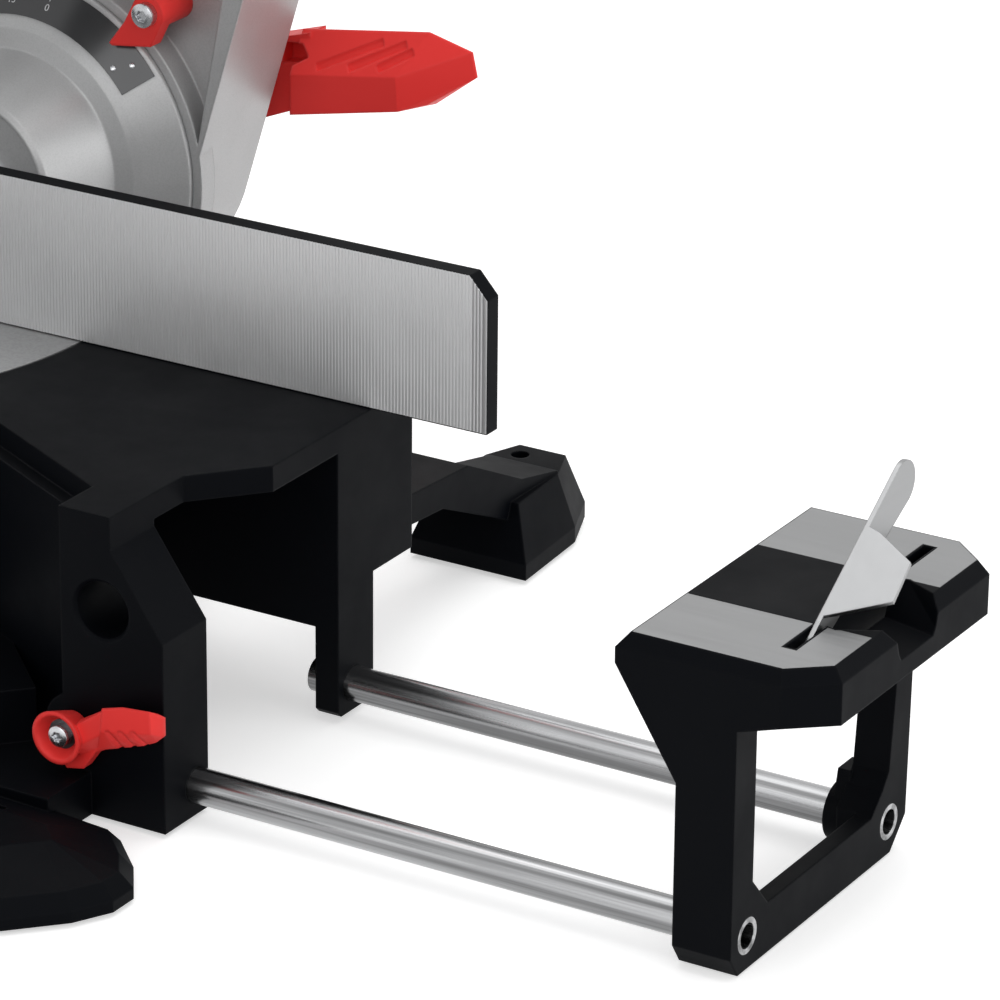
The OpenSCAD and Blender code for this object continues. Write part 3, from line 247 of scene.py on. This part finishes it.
def coatedFinish(name, settings):  # paint, moulded plastic, rubber and cast metal
    material, tree, shader = startMaterial(name, settings)
    low, high = settings["gloss"]
    skin = placeGroup(tree, softEdges, Radius=settings["edge"], Scale=settings["grain"],
                      Height=settings["depth"])
    gloss = placeGroup(tree, handling, Low=low, High=high)
    link(tree, skin, "Normal", shader, "Normal")
    link(tree, gloss, "Gloss", shader, "Roughness")
    color = tuple(settings["color"])
    if "wear" in settings:
        reach = settings["edge"] * coating["wearReach"]
        worn = placeGroup(tree, edgeWear, Radius=reach, Amount=settings["wear"])
        color = mixColor(tree, worn.outputs["Mask"], color, tuple(settings["wornColor"]))
    if "speckle" in settings:
        coords = addNode(tree, "ShaderNodeTexCoord")
        noise = addNode(tree, "ShaderNodeTexNoise", {"Scale": settings["speckleScale"], "Detail": 2.0})
        link(tree, coords, "Object", noise, "Vector")
        spread = addNode(tree, "ShaderNodeMapRange", {"From Min": 0.42, "From Max": 0.68})
        link(tree, noise, "Fac", spread, "Value")
        color = mixColor(tree, spread.outputs["Result"], color, tuple(settings["speckle"]))
    dust = placeGroup(tree, settledDust, Amount=settings["dust"])
    color = mixColor(tree, dust.outputs["Mask"], color, coating["dustColor"])
    tree.links.new(color, shader.inputs["Base Color"])
    return material


drawing = dict(grain=200.0, grainDepth=0.000002, dark=0.85, stain=0.2, stainScale=30.0, stainTone=0.5)


def drawnFinish(name, settings):  # bright metal with lines; in the colour, strong dark line bands are partly painted reflection
    settings = {**drawing, **settings, "metallic": 1.0}
    material, tree, shader = startMaterial(name, settings)
    low, high = settings["gloss"]
    streaks = placeGroup(tree, drawnStreaks, Stretch=settings["stretch"], Low=low, High=high)
    bevel = placeGroup(tree, softEdges, Radius=settings["edge"], Scale=settings["grain"],
                       Height=settings["grainDepth"])
    bump = addNode(tree, "ShaderNodeBump", {"Strength": 1.0, "Distance": settings["depth"]})
    link(tree, streaks, "Gloss", shader, "Roughness")
    link(tree, streaks, "Height", bump, "Height")
    link(tree, bevel, "Normal", bump, "Normal")
    link(tree, bump, "Normal", shader, "Normal")
    # Darker colour in bands along the lines; with a strong dark value, as on the tubes, these bands are
    # partly drawing lines and partly painted reflection of dark surroundings mirrored along the tube
    streakAndReflectionBand = addNode(tree, "ShaderNodeMapRange", {"From Min": 0.38, "From Max": 0.62})
    link(tree, streaks, "Height", streakAndReflectionBand, "Value")
    dark = tuple(c * settings["dark"] for c in settings["color"])
    color = mixColor(tree, streakAndReflectionBand.outputs["Result"], dark, tuple(settings["color"]))
    coords = addNode(tree, "ShaderNodeTexCoord")
    noise = addNode(tree, "ShaderNodeTexNoise",
                    {"Scale": settings["stainScale"], "Detail": 6.0, "Roughness": 0.7})
    link(tree, coords, "Object", noise, "Vector")
    stain = mathNode(tree, "MULTIPLY", noise.outputs["Fac"], settings["stain"])
    color = mixColor(tree, stain, color, tuple(c * settings["stainTone"] for c in settings["color"]))
    tree.links.new(color, shader.inputs["Base Color"])
    return material


coatedFinishes = {
    "blackCoat": dict(color=(0.0012, 0.0016, 0.0026), gloss=(0.46, 0.58), edge=0.0013, grain=1500.0,
                      depth=0.000016, specular=0.042, wear=0.04, wornColor=(0.05, 0.052, 0.056), dust=0.004),
    "blackMoulding": dict(color=(0.007, 0.0074, 0.0086), gloss=(0.44, 0.58), edge=0.0009, grain=1800.0,
                          depth=0.00003, specular=0.12, dust=0.02),
    "redMoulding": dict(color=(0.84, 0.042, 0.038), gloss=(0.36, 0.48), edge=0.0019, grain=1500.0,
                        depth=0.000012, specular=0.2, dust=0.01),
    "castAlloy": dict(color=(0.43, 0.433, 0.436), metallic=0.38, gloss=(0.34, 0.46), edge=0.0018,
                      grain=2200.0, depth=0.000022, speckle=(0.39, 0.393, 0.396), speckleScale=1300.0,
                      wear=0.1, wornColor=(0.6, 0.61, 0.62), dust=0.02),
    "groundAlloy": dict(color=(0.35, 0.353, 0.356), metallic=0.6, gloss=(0.42, 0.52), edge=0.0008,
                        grain=1800.0, depth=0.000012, speckle=(0.3, 0.303, 0.306), speckleScale=700.0,
                        dust=0.03),
    "fenceBare": dict(color=(0.6, 0.604, 0.61), metallic=0.6, gloss=(0.34, 0.44), edge=0.0001, grain=1800.0,
                      depth=0.000006, dust=0.0),
    "footRubber": dict(color=(0.008, 0.008, 0.008), gloss=(0.7, 0.85), edge=0.0012, grain=1200.0,
                       depth=0.00005, specular=0.2, dust=0.05),
    "bronzeBush": dict(color=(0.5, 0.32, 0.13), metallic=1.0, gloss=(0.3, 0.45), edge=0.0004, grain=1500.0,
                       depth=0.00001, dust=0.0),
    "lacquerCore": dict(color=(0.2, 0.085, 0.035), metallic=0.6, gloss=(0.35, 0.5), edge=0.0005, grain=700.0,
                        depth=0.00004, dust=0.0),
    "scaleEnamel": dict(color=(0.55, 0.56, 0.57), metallic=0.35, gloss=(0.3, 0.42), edge=0.0003, grain=2500.0,
                        depth=0.00001, dust=0.02),
    "scaleFilm": dict(color=(0.05, 0.051, 0.053), metallic=0.3, gloss=(0.14, 0.22), edge=0.0003, grain=2500.0,
                      depth=0.000006, dust=0.0),
    "printInk": dict(color=(0.009, 0.009, 0.01), gloss=(0.45, 0.6), edge=0.0001, grain=2500.0,
                     depth=0.000005, dust=0.0),
    "paleInk": dict(color=(0.6, 0.61, 0.62), gloss=(0.45, 0.6), edge=0.0001, grain=2500.0,
                    depth=0.000005, dust=0.0),
}
drawnFinishes = {
    # Tubes: the strong dark bands in the colour are partly drawing lines and partly painted reflection
    "drawnTube": dict(color=(0.54, 0.545, 0.555), dark=0.25, stain=0.35, gloss=(0.16, 0.3), edge=0.0005,
                      stretch=(2.0, 170.0, 170.0), depth=0.000014),
    "slideRod": dict(color=(0.62, 0.63, 0.65), gloss=(0.08, 0.16), edge=0.0006,
                     stretch=(500.0, 4.0, 500.0), depth=0.000003),
    "wearSheet": dict(color=(0.3, 0.303, 0.306), dark=0.92, stain=0.1, gloss=(0.36, 0.48), edge=0.0003,
                      stretch=(10.0, 500.0, 500.0), depth=0.000004),
    "stopSheet": dict(color=(0.29, 0.293, 0.297), dark=1.0, stain=0.0, gloss=(0.3, 0.34), edge=0.0006,
                      stretch=(300.0, 8.0, 300.0), depth=0.000001),
    "zincScrew": dict(color=(0.55, 0.56, 0.58), dark=0.96, stain=0.05, gloss=(0.22, 0.3), edge=0.0004,
                      stretch=(200.0, 200.0, 200.0), depth=0.000001),
    "darkSteel": dict(color=(0.09, 0.092, 0.096), dark=0.96, stain=0.05, gloss=(0.26, 0.34), edge=0.0003,
                      stretch=(200.0, 200.0, 200.0), depth=0.000001),
    "bladeSteel": dict(color=(0.5, 0.51, 0.53), dark=0.95, stain=0.04, gloss=(0.28, 0.34), edge=0.0002,
                       stretch=(400.0, 60.0, 60.0), depth=0.0000004),
    "gearSteel": dict(color=(0.42, 0.43, 0.45), gloss=(0.25, 0.4), edge=0.0003,
                      stretch=(300.0, 200.0, 200.0), depth=0.000006),
}
finishes = {name: coatedFinish(name, values) for name, values in coatedFinishes.items()}
finishes.update({name: drawnFinish(name, values) for name, values in drawnFinishes.items()})

smokyGuard = dict(color=(0.62, 0.66, 0.68), gloss=(0.004, 0.0176), scuffScale=60.0, transmission=0.92,
                  ior=1.2, edge=0.0006, grain=300.0, depth=0.0000002)


def clearGuard(settings):
    material, tree, shader = startMaterial("smokyGuard", settings)
    shader.inputs["Transmission Weight"].default_value = settings["transmission"]
    low, high = settings["gloss"]
    scuffs = placeGroup(tree, handling, Low=low, High=high, Scale=settings["scuffScale"])
    link(tree, scuffs, "Gloss", shader, "Roughness")
    skin = placeGroup(tree, softEdges, Radius=settings["edge"], Scale=settings["grain"],
                      Height=settings["depth"])
    link(tree, skin, "Normal", shader, "Normal")
    return material


finishes["smokyGuard"] = clearGuard(smokyGuard)
print("finishes ready:", len(finishes))

nodeFinish = {
    "blackCoat": ["base_casting", "extension_frame_right", "extension_frame_left", "fence_right",
                  "fence_left", "sliding_fence"],
    "footRubber": ["rubber_feet"],
    "redMoulding": ["fence_knob", "lock_lever_right", "lock_lever_left", "mitre_pointer", "mitre_lock_knob",
                    "detent_lever", "bevel_pointer", "bevel_lever", "motor_end_cap", "trigger",
                    "lock_off_button"],
    "blackMoulding": ["kerf_inserts", "slide_lock_knob", "rod_end_plate", "motor_housing", "brush_caps",
                      "handle_shell_left", "handle_shell_right", "dust_spout", "spindle_lock_button",
                      "cooling_fan"],
    "castAlloy": ["turntable", "tilt_arm", "head_carrier", "upper_guard", "gear_case"],
    "groundAlloy": ["table_plates"],
    "scaleEnamel": ["mitre_scale"],
    "scaleFilm": ["bevel_scale"],
    "bronzeBush": ["slide_bushes"],
    "lacquerCore": ["stator", "armature"],
    "drawnTube": ["extension_tubes_right", "extension_tubes_left"],
    "slideRod": ["slide_rods", "chop_pivot_pin"],
    "wearSheet": ["wear_plates_right", "wear_plates_left"],
    "stopSheet": ["flip_stop_right", "flip_stop_left"],
    "zincScrew": ["mitre_pivot_bolt", "lever_screws", "bevel_pivot_bolt", "mitre_lock_rod", "pointer_screw",
                  "return_spring", "motor_bearings", "arbor", "blade_flanges", "arbor_bolt"],
    "bladeSteel": ["saw_blade"],
    "gearSteel": ["drive_gear"],
    "smokyGuard": ["lower_guard"],
}
for finish, members in nodeFinish.items():
    for member in members:
        nodes[member].data.materials.clear()
        nodes[member].data.materials.append(finishes[finish])
bare = set(nodes) - {member for members in nodeFinish.values() for member in members}
print("nodes finished, left bare:", sorted(bare))


# New pieces

mergeDistance = 0.000002


def finishPiece(bm, name, body, finish, smoothAngle=35.0):
    bmesh.ops.remove_doubles(bm, verts=bm.verts, dist=mergeDistance)
    bmesh.ops.recalc_face_normals(bm, faces=bm.faces)
    mesh = bpy.data.meshes.new(name)
    bm.to_mesh(mesh)
    bm.free()
    mesh.shade_smooth()
    mesh.set_sharp_from_angle(angle=math.radians(smoothAngle))
    mesh.materials.append(finishes[finish])
    piece = bpy.data.objects.new(name, mesh)
    scene.collection.objects.link(piece)
    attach(piece, body)
    return piece


def aimed(place, direction):  # +Z of a piece turned to a direction, at a place
    return Matrix.Translation(Vector(place)) @ Vector(direction).to_track_quat("Z", "Y").to_matrix().to_4x4()


starScrew = dict(height=0.0014, rim=0.66, star=0.42, lobes=6, lobeDepth=0.16, recess=0.0013, steps=36)


def starHead(bm, radius, matrix, settings):  # a screw head with a star recess
    earlier = set(bm.verts)
    half = settings["height"] * 0.5
    made = bmesh.ops.create_circle(bm, cap_ends=True, segments=settings["steps"], radius=radius)
    face = made["verts"][0].link_faces[0]
    top = bmesh.ops.extrude_face_region(bm, geom=[face])["geom"]
    face = next(g for g in top if isinstance(g, bmesh.types.BMFace))
    bmesh.ops.translate(bm, verts=face.verts, vec=(0, 0, half))
    bmesh.ops.inset_region(bm, faces=[face], thickness=radius * (1 - settings["rim"]), depth=half)
    bmesh.ops.inset_region(bm, faces=[face], thickness=radius * (settings["rim"] - settings["star"]))
    for vert in face.verts:
        turn = math.atan2(vert.co.y, vert.co.x) * settings["lobes"]
        swell = 1 + settings["lobeDepth"] * math.cos(turn)
        vert.co.x *= swell
        vert.co.y *= swell
    bottom = bmesh.ops.extrude_face_region(bm, geom=[face])["geom"]
    bmesh.ops.delete(bm, geom=[face], context="FACES_ONLY")
    sunk = next(g for g in bottom if isinstance(g, bmesh.types.BMFace))
    bmesh.ops.translate(bm, verts=sunk.verts, vec=(0, 0, -settings["recess"]))
    added = [v for v in bm.verts if v not in earlier]
    bmesh.ops.transform(bm, matrix=matrix, verts=added)


def starScrews(name, body, spots, radius):
    bm = bmesh.new()
    for place, direction in spots:
        starHead(bm, radius, aimed(place, direction), starScrew)
    finishPiece(bm, name, body, "zincScrew")


leverHead = dict(radius=0.0048, inset=0.0066)
leverLow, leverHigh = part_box("lever_screws")
leverSpots = [
    ((side * (leverHigh.x - leverHead["inset"]), leverLow.y, (leverLow.z + leverHigh.z) / 2), (0, -1, 0))
    for side in (1, -1)
]
starScrews("leverStarHeads", "base", leverSpots, leverHead["radius"])

leverDarkRing = dict(inner=0.00482, outer=0.00666, back=0.0038, thick=0.00106, steps=48)


def leverWashers(settings):  # dark rings round the lever screws, set back behind the heads
    bm = bmesh.new()
    for place, direction in leverSpots:
        earlier = set(bm.verts)
        inner, outer = settings["inner"], settings["outer"]
        made = bmesh.ops.create_circle(bm, cap_ends=True, segments=settings["steps"], radius=outer)
        middle = made["verts"][0].link_faces[0]
        ring = bmesh.ops.inset_region(bm, faces=[middle], thickness=outer - inner, use_boundary=True)["faces"]
        bmesh.ops.delete(bm, geom=[middle], context="FACES_ONLY")
        bmesh.ops.solidify(bm, geom=ring, thickness=settings["thick"])
        added = [v for v in bm.verts if v not in earlier]
        lowest = min(v.co.z for v in added)
        bmesh.ops.translate(bm, verts=added, vec=(0, 0, -settings["back"] - lowest))
        bmesh.ops.transform(bm, matrix=aimed(place, direction), verts=added)
    finishPiece(bm, "leverWashers", "base", "darkSteel")


leverWashers(leverDarkRing)

pointerHead = dict(radius=0.006)
pointerLow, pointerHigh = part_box("pointer_screw")
pointerSpot = ((pointerLow.x + pointerHigh.x) / 2, pointerLow.y, (pointerLow.z + pointerHigh.z) / 2)
starScrews("pointerStarHead", "tilt", [(pointerSpot, (0, -1, 0))], pointerHead["radius"])


# Screws that hold the head's shells and covers: each is moved to the nearest flat place on its piece.
# A spot is given as shares of the piece's box, in the two axes across the facing.

coverScrews = [
    dict(piece="handle_shell_right", facing=(1, 0, 0), radius=0.0034,
         spots=[(0.1, 0.2), (0.14, 0.9), (0.75, 0.75), (0.9, 0.3)]),
    dict(piece="handle_shell_left", facing=(-1, 0, 0), radius=0.0034,
         spots=[(0.1, 0.2), (0.14, 0.9), (0.75, 0.75)]),
    dict(piece="gear_case", facing=(1, 0, 0), radius=0.0034,
         spots=[(0.1, 0.85), (0.9, 0.85), (0.1, 0.15), (0.9, 0.15)]),
    dict(piece="upper_guard", facing=(1, 0, 0), radius=0.004, spots=[(0.25, 0.9), (0.6, 0.93), (0.5, 0.6)]),
    dict(piece="upper_guard", facing=(-1, 0, 0), radius=0.004, spots=[(0.25, 0.9), (0.6, 0.93)]),
    dict(piece="head_carrier", facing=(0, 0, 1), radius=0.0036, spots=[(0.1, 0.5), (0.9, 0.5)]),
    dict(piece="rod_end_plate", facing=(0, 1, 0), radius=0.0032, spots=[(0.4, 0.5), (0.6, 0.5)]),
]
flatSearch = dict(away=3.0, rings=24, spacing=0.0015, perRing=6, rimPoints=8, reach=1.3, level=0.0002)


def flatPlace(tree, start, facing, radius, settings):  # nearest place where a head of this radius lies flat
    side = facing.orthogonal().normalized()
    other = facing.cross(side)

    def around(turn):
        return side * math.cos(turn) + other * math.sin(turn)

    points = settings["rimPoints"]
    rim = [around(2 * math.pi * k / points) * radius * settings["reach"] for k in range(points)]
    for ring in range(settings["rings"]):
        steps = max(1, settings["perRing"] * ring)
        for step in range(steps):
            middle = start + around(2 * math.pi * step / steps) * ring * settings["spacing"]
            starts = [middle] + [middle + aside for aside in rim]
            hits = [tree.ray_cast(point, -facing)[0] for point in starts]
            if None in hits:
                continue
            depths = [hit.dot(facing) for hit in hits]
            if max(depths) - min(depths) < settings["level"]:
                return hits[0]
    return None


def coverHeads(group):
    mesh = nodes[group["piece"]].data
    tree = BVHTree.FromPolygons([v.co for v in mesh.vertices], [face.vertices for face in mesh.polygons])
    low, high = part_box(group["piece"])
    facing = Vector(group["facing"])
    axes = [axis for axis in range(3) if group["facing"][axis] == 0]
    found = []
    for shares in group["spots"]:
        start = facing * flatSearch["away"]
        for axis, share in zip(axes, shares):
            start[axis] = low[axis] + (high[axis] - low[axis]) * share
        place = flatPlace(tree, start, facing, group["radius"], flatSearch)
        if place is not None:
            found.append((place, facing))
    side = "Left" if sum(group["facing"]) < 0 else "Right"
    name = group["piece"].replace("_", "") + "Screws" + side
    starScrews(name, bodyOf[group["piece"]], found, group["radius"])


for group in coverScrews:
    coverHeads(group)
print("screw heads ready")


# Blade: a hard metal tip on the front of each tooth

tip = dict(overhang=0.0003, along=0.0018, tall=0.006, out=0.0001, shift=0.35, pointBand=0.0002,
           heelBand=(0.001, 0.003))


def bladeTips(settings):
    low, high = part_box("saw_blade")
    center = (low + high) / 2
    spokes = [(v.co.y - center.y, v.co.z - center.z) for v in nodes["saw_blade"].data.vertices]
    polar = [(math.hypot(y, z), math.atan2(z, y)) for y, z in spokes]
    rim = max(radius for radius, angle in polar)
    points = sorted({round(angle, 3) for radius, angle in polar if radius > rim - settings["pointBand"]})
    heelLow, heelHigh = settings["heelBand"]
    heel = next(angle for radius, angle in polar if heelLow < rim - radius < heelHigh)
    nearest = min(points, key=lambda angle: abs(angle - heel))
    way = 1 if heel > nearest else -1
    size = (high.x - low.x + 2 * settings["overhang"], settings["tall"], settings["along"])
    seat = (0, rim + settings["out"] - settings["tall"] / 2, way * settings["along"] * settings["shift"])
    bm = bmesh.new()
    for angle in points:
        verts = bmesh.ops.create_cube(bm, size=1.0)["verts"]
        bmesh.ops.scale(bm, verts=verts, vec=size)
        bmesh.ops.translate(bm, verts=verts, vec=seat)
        bmesh.ops.rotate(bm, verts=verts, cent=(0, 0, 0), matrix=Matrix.Rotation(angle, 3, "X"))
        bmesh.ops.translate(bm, verts=verts, vec=center)
    finishPiece(bm, "bladeTips", bodyOf["saw_blade"], "gearSteel")
    return len(points)


print("blade tips:", bladeTips(tip))


# Fence faces: milled bare, with fine upright serrations

serration = dict(pitch=0.0017, groove=0.0003, depth=0.0004, lift=0.00002, thickness=0.00015, foot=0.0006,
                 faceBand=0.0005, faceCosine=0.99, flatAngle=0.02, cutDistance=0.0000001, smoothAngle=10.0)


def fenceFacing(member, settings):
    bm = bmesh.new()
    bm.from_mesh(nodes[member].data)
    bmesh.ops.remove_doubles(bm, verts=bm.verts, dist=mergeDistance)
    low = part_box(member)[0]
    front = low.y + settings["faceBand"]
    kept = {f for f in bm.faces if f.normal.y < -settings["faceCosine"] and f.calc_center_median().y < front}
    bmesh.ops.delete(bm, geom=[f for f in bm.faces if f not in kept], context="FACES")
    bmesh.ops.dissolve_limit(bm, angle_limit=settings["flatAngle"], verts=bm.verts, edges=bm.edges)
    first = min(v.co.x for v in bm.verts)
    last = max(v.co.x for v in bm.verts)
    pitch, groove = settings["pitch"], settings["groove"]
    for step in range(int((last - first) / pitch)):
        for shift in (0.5 * pitch - groove, 0.5 * pitch, 0.5 * pitch + groove):
            everything = bm.verts[:] + bm.edges[:] + bm.faces[:]
            bmesh.ops.bisect_plane(bm, geom=everything, dist=settings["cutDistance"],
                                   plane_co=(first + step * pitch + shift, 0, 0), plane_no=(1, 0, 0))
    for vert in bm.verts:
        aside = abs((vert.co.x - first) % pitch - 0.5 * pitch)
        vert.co.y -= settings["lift"] + settings["depth"] * min(aside / groove, 1.0)
        vert.co.z = max(vert.co.z, low.z + settings["foot"])
    bmesh.ops.solidify(bm, geom=bm.faces[:], thickness=settings["thickness"])
    name = member.replace("_", "") + "Facing"
    return finishPiece(bm, name, bodyOf[member], "fenceBare", settings["smoothAngle"])


for member in ("fence_right", "fence_left", "sliding_fence"):
    facing = fenceFacing(member, serration)
    print("facing:", member, len(facing.data.polygons), "faces")


# Scales: ruled lines and plain numbers

def ruleLength(step, settings):  # longest lines at every 15 degrees, middle ones at every 5
    if step % 15 == 0:
        return settings["long"]
    return settings["middle"] if step % 5 == 0 else settings["short"]


numberRelief = 0.00008


def numberPiece(name, text, size, matrix, body, ink):
    curve = bpy.data.curves.new(name, "FONT")
    curve.body = text
    curve.size = size
    curve.align_x = "CENTER"
    curve.align_y = "CENTER"
    curve.extrude = numberRelief
    holder = bpy.data.objects.new(name + "Curve", curve)
    scene.collection.objects.link(holder)
    bpy.context.view_layer.update()
    mesh = bpy.data.meshes.new_from_object(holder.evaluated_get(bpy.context.evaluated_depsgraph_get()))
    bpy.data.objects.remove(holder)
    mesh.transform(matrix)
    mesh.name = name
    mesh.materials.clear()
    mesh.materials.append(finishes[ink])
    piece = bpy.data.objects.new(name, mesh)
    scene.collection.objects.link(piece)
    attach(piece, body)


mitreRule = dict(first=-50, last=50, inner=0.1835, short=0.005, middle=0.007, long=0.010, width=0.0004,
                 lift=0.0001, numberSize=0.0062, numberAt=0.1975)


def mitreLines(settings):
    bm = bmesh.new()
    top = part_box("mitre_scale")[1].z
    for angle in range(settings["first"], settings["last"] + 1):
        length = ruleLength(angle, settings)
        turn = Matrix.Rotation(math.radians(angle), 3, "Z")
        verts = bmesh.ops.create_cube(bm, size=1.0)["verts"]
        bmesh.ops.scale(bm, verts=verts, vec=(settings["width"], length, settings["lift"] * 2))
        bmesh.ops.translate(bm, verts=verts, vec=(0, -settings["inner"] - length / 2, top))
        bmesh.ops.rotate(bm, verts=verts, cent=(0, 0, 0), matrix=turn)
    finishPiece(bm, "mitreScaleLines", "base", "printInk")


mitreLines(mitreRule)
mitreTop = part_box("mitre_scale")[1].z
for angle in (-45, -30, -15, 0, 15, 30, 45):
    turn = Matrix.Rotation(math.radians(angle), 4, "Z")
    numberPiece(f"mitreNumber{angle % 360}", str(abs(angle)), mitreRule["numberSize"],
                turn @ Matrix.Translation((0, -mitreRule["numberAt"], mitreTop)), "base", "printInk")
print("mitre scale ready")

bevelRule = dict(first=0, last=45, zeroAt=80.0, short=0.0035, middle=0.005, long=0.007, width=0.0004,
                 thick=0.0002, margin=0.001, numberSize=0.005, numberAt=0.0115)
bevelCone = dict(outer=0.0905, inset=0.00085, slope=(-16.0, -9.6))


# A place on the conical bevel scale: angle from +X, distance down from its outer edge
def coneFrame(angle, along):
    outer = Vector((bevelCone["outer"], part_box("bevel_scale")[1].y - bevelCone["inset"]))
    slope = Vector(bevelCone["slope"]).normalized()
    radius = outer.x + slope.x * along
    depth = outer.y + slope.y * along
    turn = math.radians(angle)
    radial = Vector((math.cos(turn), 0, math.sin(turn)))
    place = Vector((0, depth, tableTop)) + radial * radius
    inward = Vector((0, slope.y, 0)) + radial * slope.x
    across = Vector((math.sin(turn), 0, -math.cos(turn)))
    outward = inward.cross(across).normalized()
    if outward.y > 0:
        outward = -outward
    basis = Matrix((across, -inward, outward)).transposed()
    return Matrix.Translation(place) @ basis.to_4x4()


def bevelLines(settings):
    bm = bmesh.new()
    for step in range(settings["first"], settings["last"] + 1):
        length = ruleLength(step, settings)
        place = coneFrame(settings["zeroAt"] + step, settings["margin"] + length / 2)
        verts = bmesh.ops.create_cube(bm, size=1.0)["verts"]
        bmesh.ops.scale(bm, verts=verts, vec=(settings["width"], length, settings["thick"]))
        bmesh.ops.transform(bm, matrix=place, verts=verts)
    finishPiece(bm, "bevelScaleLines", "table", "paleInk")


bevelLines(bevelRule)
for step in (0, 15, 30, 45):
    numberPiece(f"bevelNumber{step}", str(step), bevelRule["numberSize"],
                coneFrame(bevelRule["zeroAt"] + step, bevelRule["numberAt"]), "table", "paleInk")

rivets = dict(spots=[(46.0, 0.015), (42.75, 0.0067)], radius=0.0014, flat=0.3, around=20, upright=10)


def scaleRivets(settings):
    bm = bmesh.new()
    for angle, along in settings["spots"]:
        made = bmesh.ops.create_uvsphere(bm, u_segments=settings["around"], v_segments=settings["upright"],
                                         radius=settings["radius"])
        bmesh.ops.scale(bm, verts=made["verts"], vec=(1, 1, settings["flat"]))
        bmesh.ops.transform(bm, matrix=coneFrame(angle, along), verts=made["verts"])
    finishPiece(bm, "bevelScaleRivets", "table", "zincScrew")


scaleRivets(rivets)
print("bevel scale ready")


# Floor, light and camera

def shownRays(tree):  # 1 where the camera sees a surface straight, in a mirror or through glass
    path = addNode(tree, "ShaderNodeLightPath")
    seen = mathNode(tree, "MAXIMUM", path.outputs["Is Camera Ray"], path.outputs["Is Glossy Ray"])
    return mathNode(tree, "MAXIMUM", seen, path.outputs["Is Transmission Ray"])


floorSettings = dict(size=14.0, color=(0.86, 0.86, 0.86), drop=-0.0004, lit=0.5, roughness=0.9, specular=0.1)


def makeFloor(settings):
    bm = bmesh.new()
    bmesh.ops.create_grid(bm, x_segments=1, y_segments=1, size=settings["size"])
    bmesh.ops.translate(bm, verts=bm.verts, vec=(0, 0, settings["drop"]))
    mesh = bpy.data.meshes.new("floor")
    bm.to_mesh(mesh)
    bm.free()
    material = bpy.data.materials.new("paleFloor")
    material.use_nodes = True
    tree = material.node_tree
    shader = tree.nodes["Principled BSDF"]
    shader.inputs["Base Color"].default_value = (*settings["color"], 1.0)
    shader.inputs["Roughness"].default_value = settings["roughness"]
    shader.inputs["Specular IOR Level"].default_value = settings["specular"]
    shader.inputs["Emission Strength"].default_value = settings["lit"]
    tree.links.new(shownRays(tree), shader.inputs["Emission Color"])
    mesh.materials.append(material)
    floor = bpy.data.objects.new("floor", mesh)
    scene.collection.objects.link(floor)


makeFloor(floorSettings)

lampSettings = {
    "overheadBox": dict(place=(0.4, 0.3, 2.6), aim=(0.3, 0.0, 0.2), size=(3.0, 2.2), power=33.0),
    "rightBox": dict(place=(2.9, 0.2, 0.9), aim=(0.5, 0.0, 0.1), size=(2.4, 1.6), power=26.0),
    "frontFill": dict(place=(0.9, -3.2, 1.5), aim=(0.2, 0.0, 0.2), size=(3.6, 2.4), power=46.0),
    "leftBox": dict(place=(-2.8, 0.6, 1.6), aim=(0.0, 0.0, 0.3), size=(2.4, 2.0), power=15.0),
}


def makeLamp(name, settings):
    lamp = bpy.data.lights.new(name, "AREA")
    lamp.shape = "RECTANGLE"
    lamp.size, lamp.size_y = settings["size"]
    lamp.energy = settings["power"]
    holder = bpy.data.objects.new(name, lamp)
    holder.location = settings["place"]
    aim = Vector(settings["aim"]) - Vector(settings["place"])
    holder.rotation_euler = aim.to_track_quat("-Z", "Y").to_euler()
    scene.collection.objects.link(holder)


for name, values in lampSettings.items():
    makeLamp(name, values)

worldSettings = dict(light=0.34, shown=1.0)


def makeWorld(settings):
    world = bpy.data.worlds.new("studio")
    scene.world = world
    world.use_nodes = True
    tree = world.node_tree
    tree.nodes.clear()
    level = addNode(tree, "ShaderNodeMapRange", {"To Min": settings["light"], "To Max": settings["shown"]})
    background = addNode(tree, "ShaderNodeBackground", {"Color": (1, 1, 1, 1)})
    output = addNode(tree, "ShaderNodeOutputWorld")
    tree.links.new(shownRays(tree), level.inputs["Value"])
    link(tree, level, "Result", background, "Strength")
    link(tree, background, "Background", output, "Surface")


makeWorld(worldSettings)

# The photograph's camera: place in metres, angles in degrees, lens for a 36 mm wide film
photoCamera = dict(place=(1.52014, -1.89145, 1.02275), azimuth=30.81, elevation=22.44, roll=0.55,
                   lens=197.06, film=36.0, clip=50.0)


def makeCamera(settings):
    turn, lift, roll = (math.radians(settings[key]) for key in ("azimuth", "elevation", "roll"))
    back = Vector((math.sin(turn) * math.cos(lift), -math.cos(turn) * math.cos(lift), math.sin(lift)))
    right = Vector((math.cos(turn), math.sin(turn), 0))
    up = back.cross(right)
    rolledRight = right * math.cos(roll) + up * math.sin(roll)
    rolledUp = up * math.cos(roll) - right * math.sin(roll)
    data = bpy.data.cameras.new("photoCamera")
    data.lens = settings["lens"]
    data.sensor_width = settings["film"]
    data.clip_end = settings["clip"]
    camera = bpy.data.objects.new("photoCamera", data)
    basis = Matrix((rolledRight, rolledUp, back)).transposed()
    camera.matrix_world = Matrix.Translation(settings["place"]) @ basis.to_4x4()
    scene.collection.objects.link(camera)
    scene.camera = camera


makeCamera(photoCamera)
print("floor, light and camera ready")
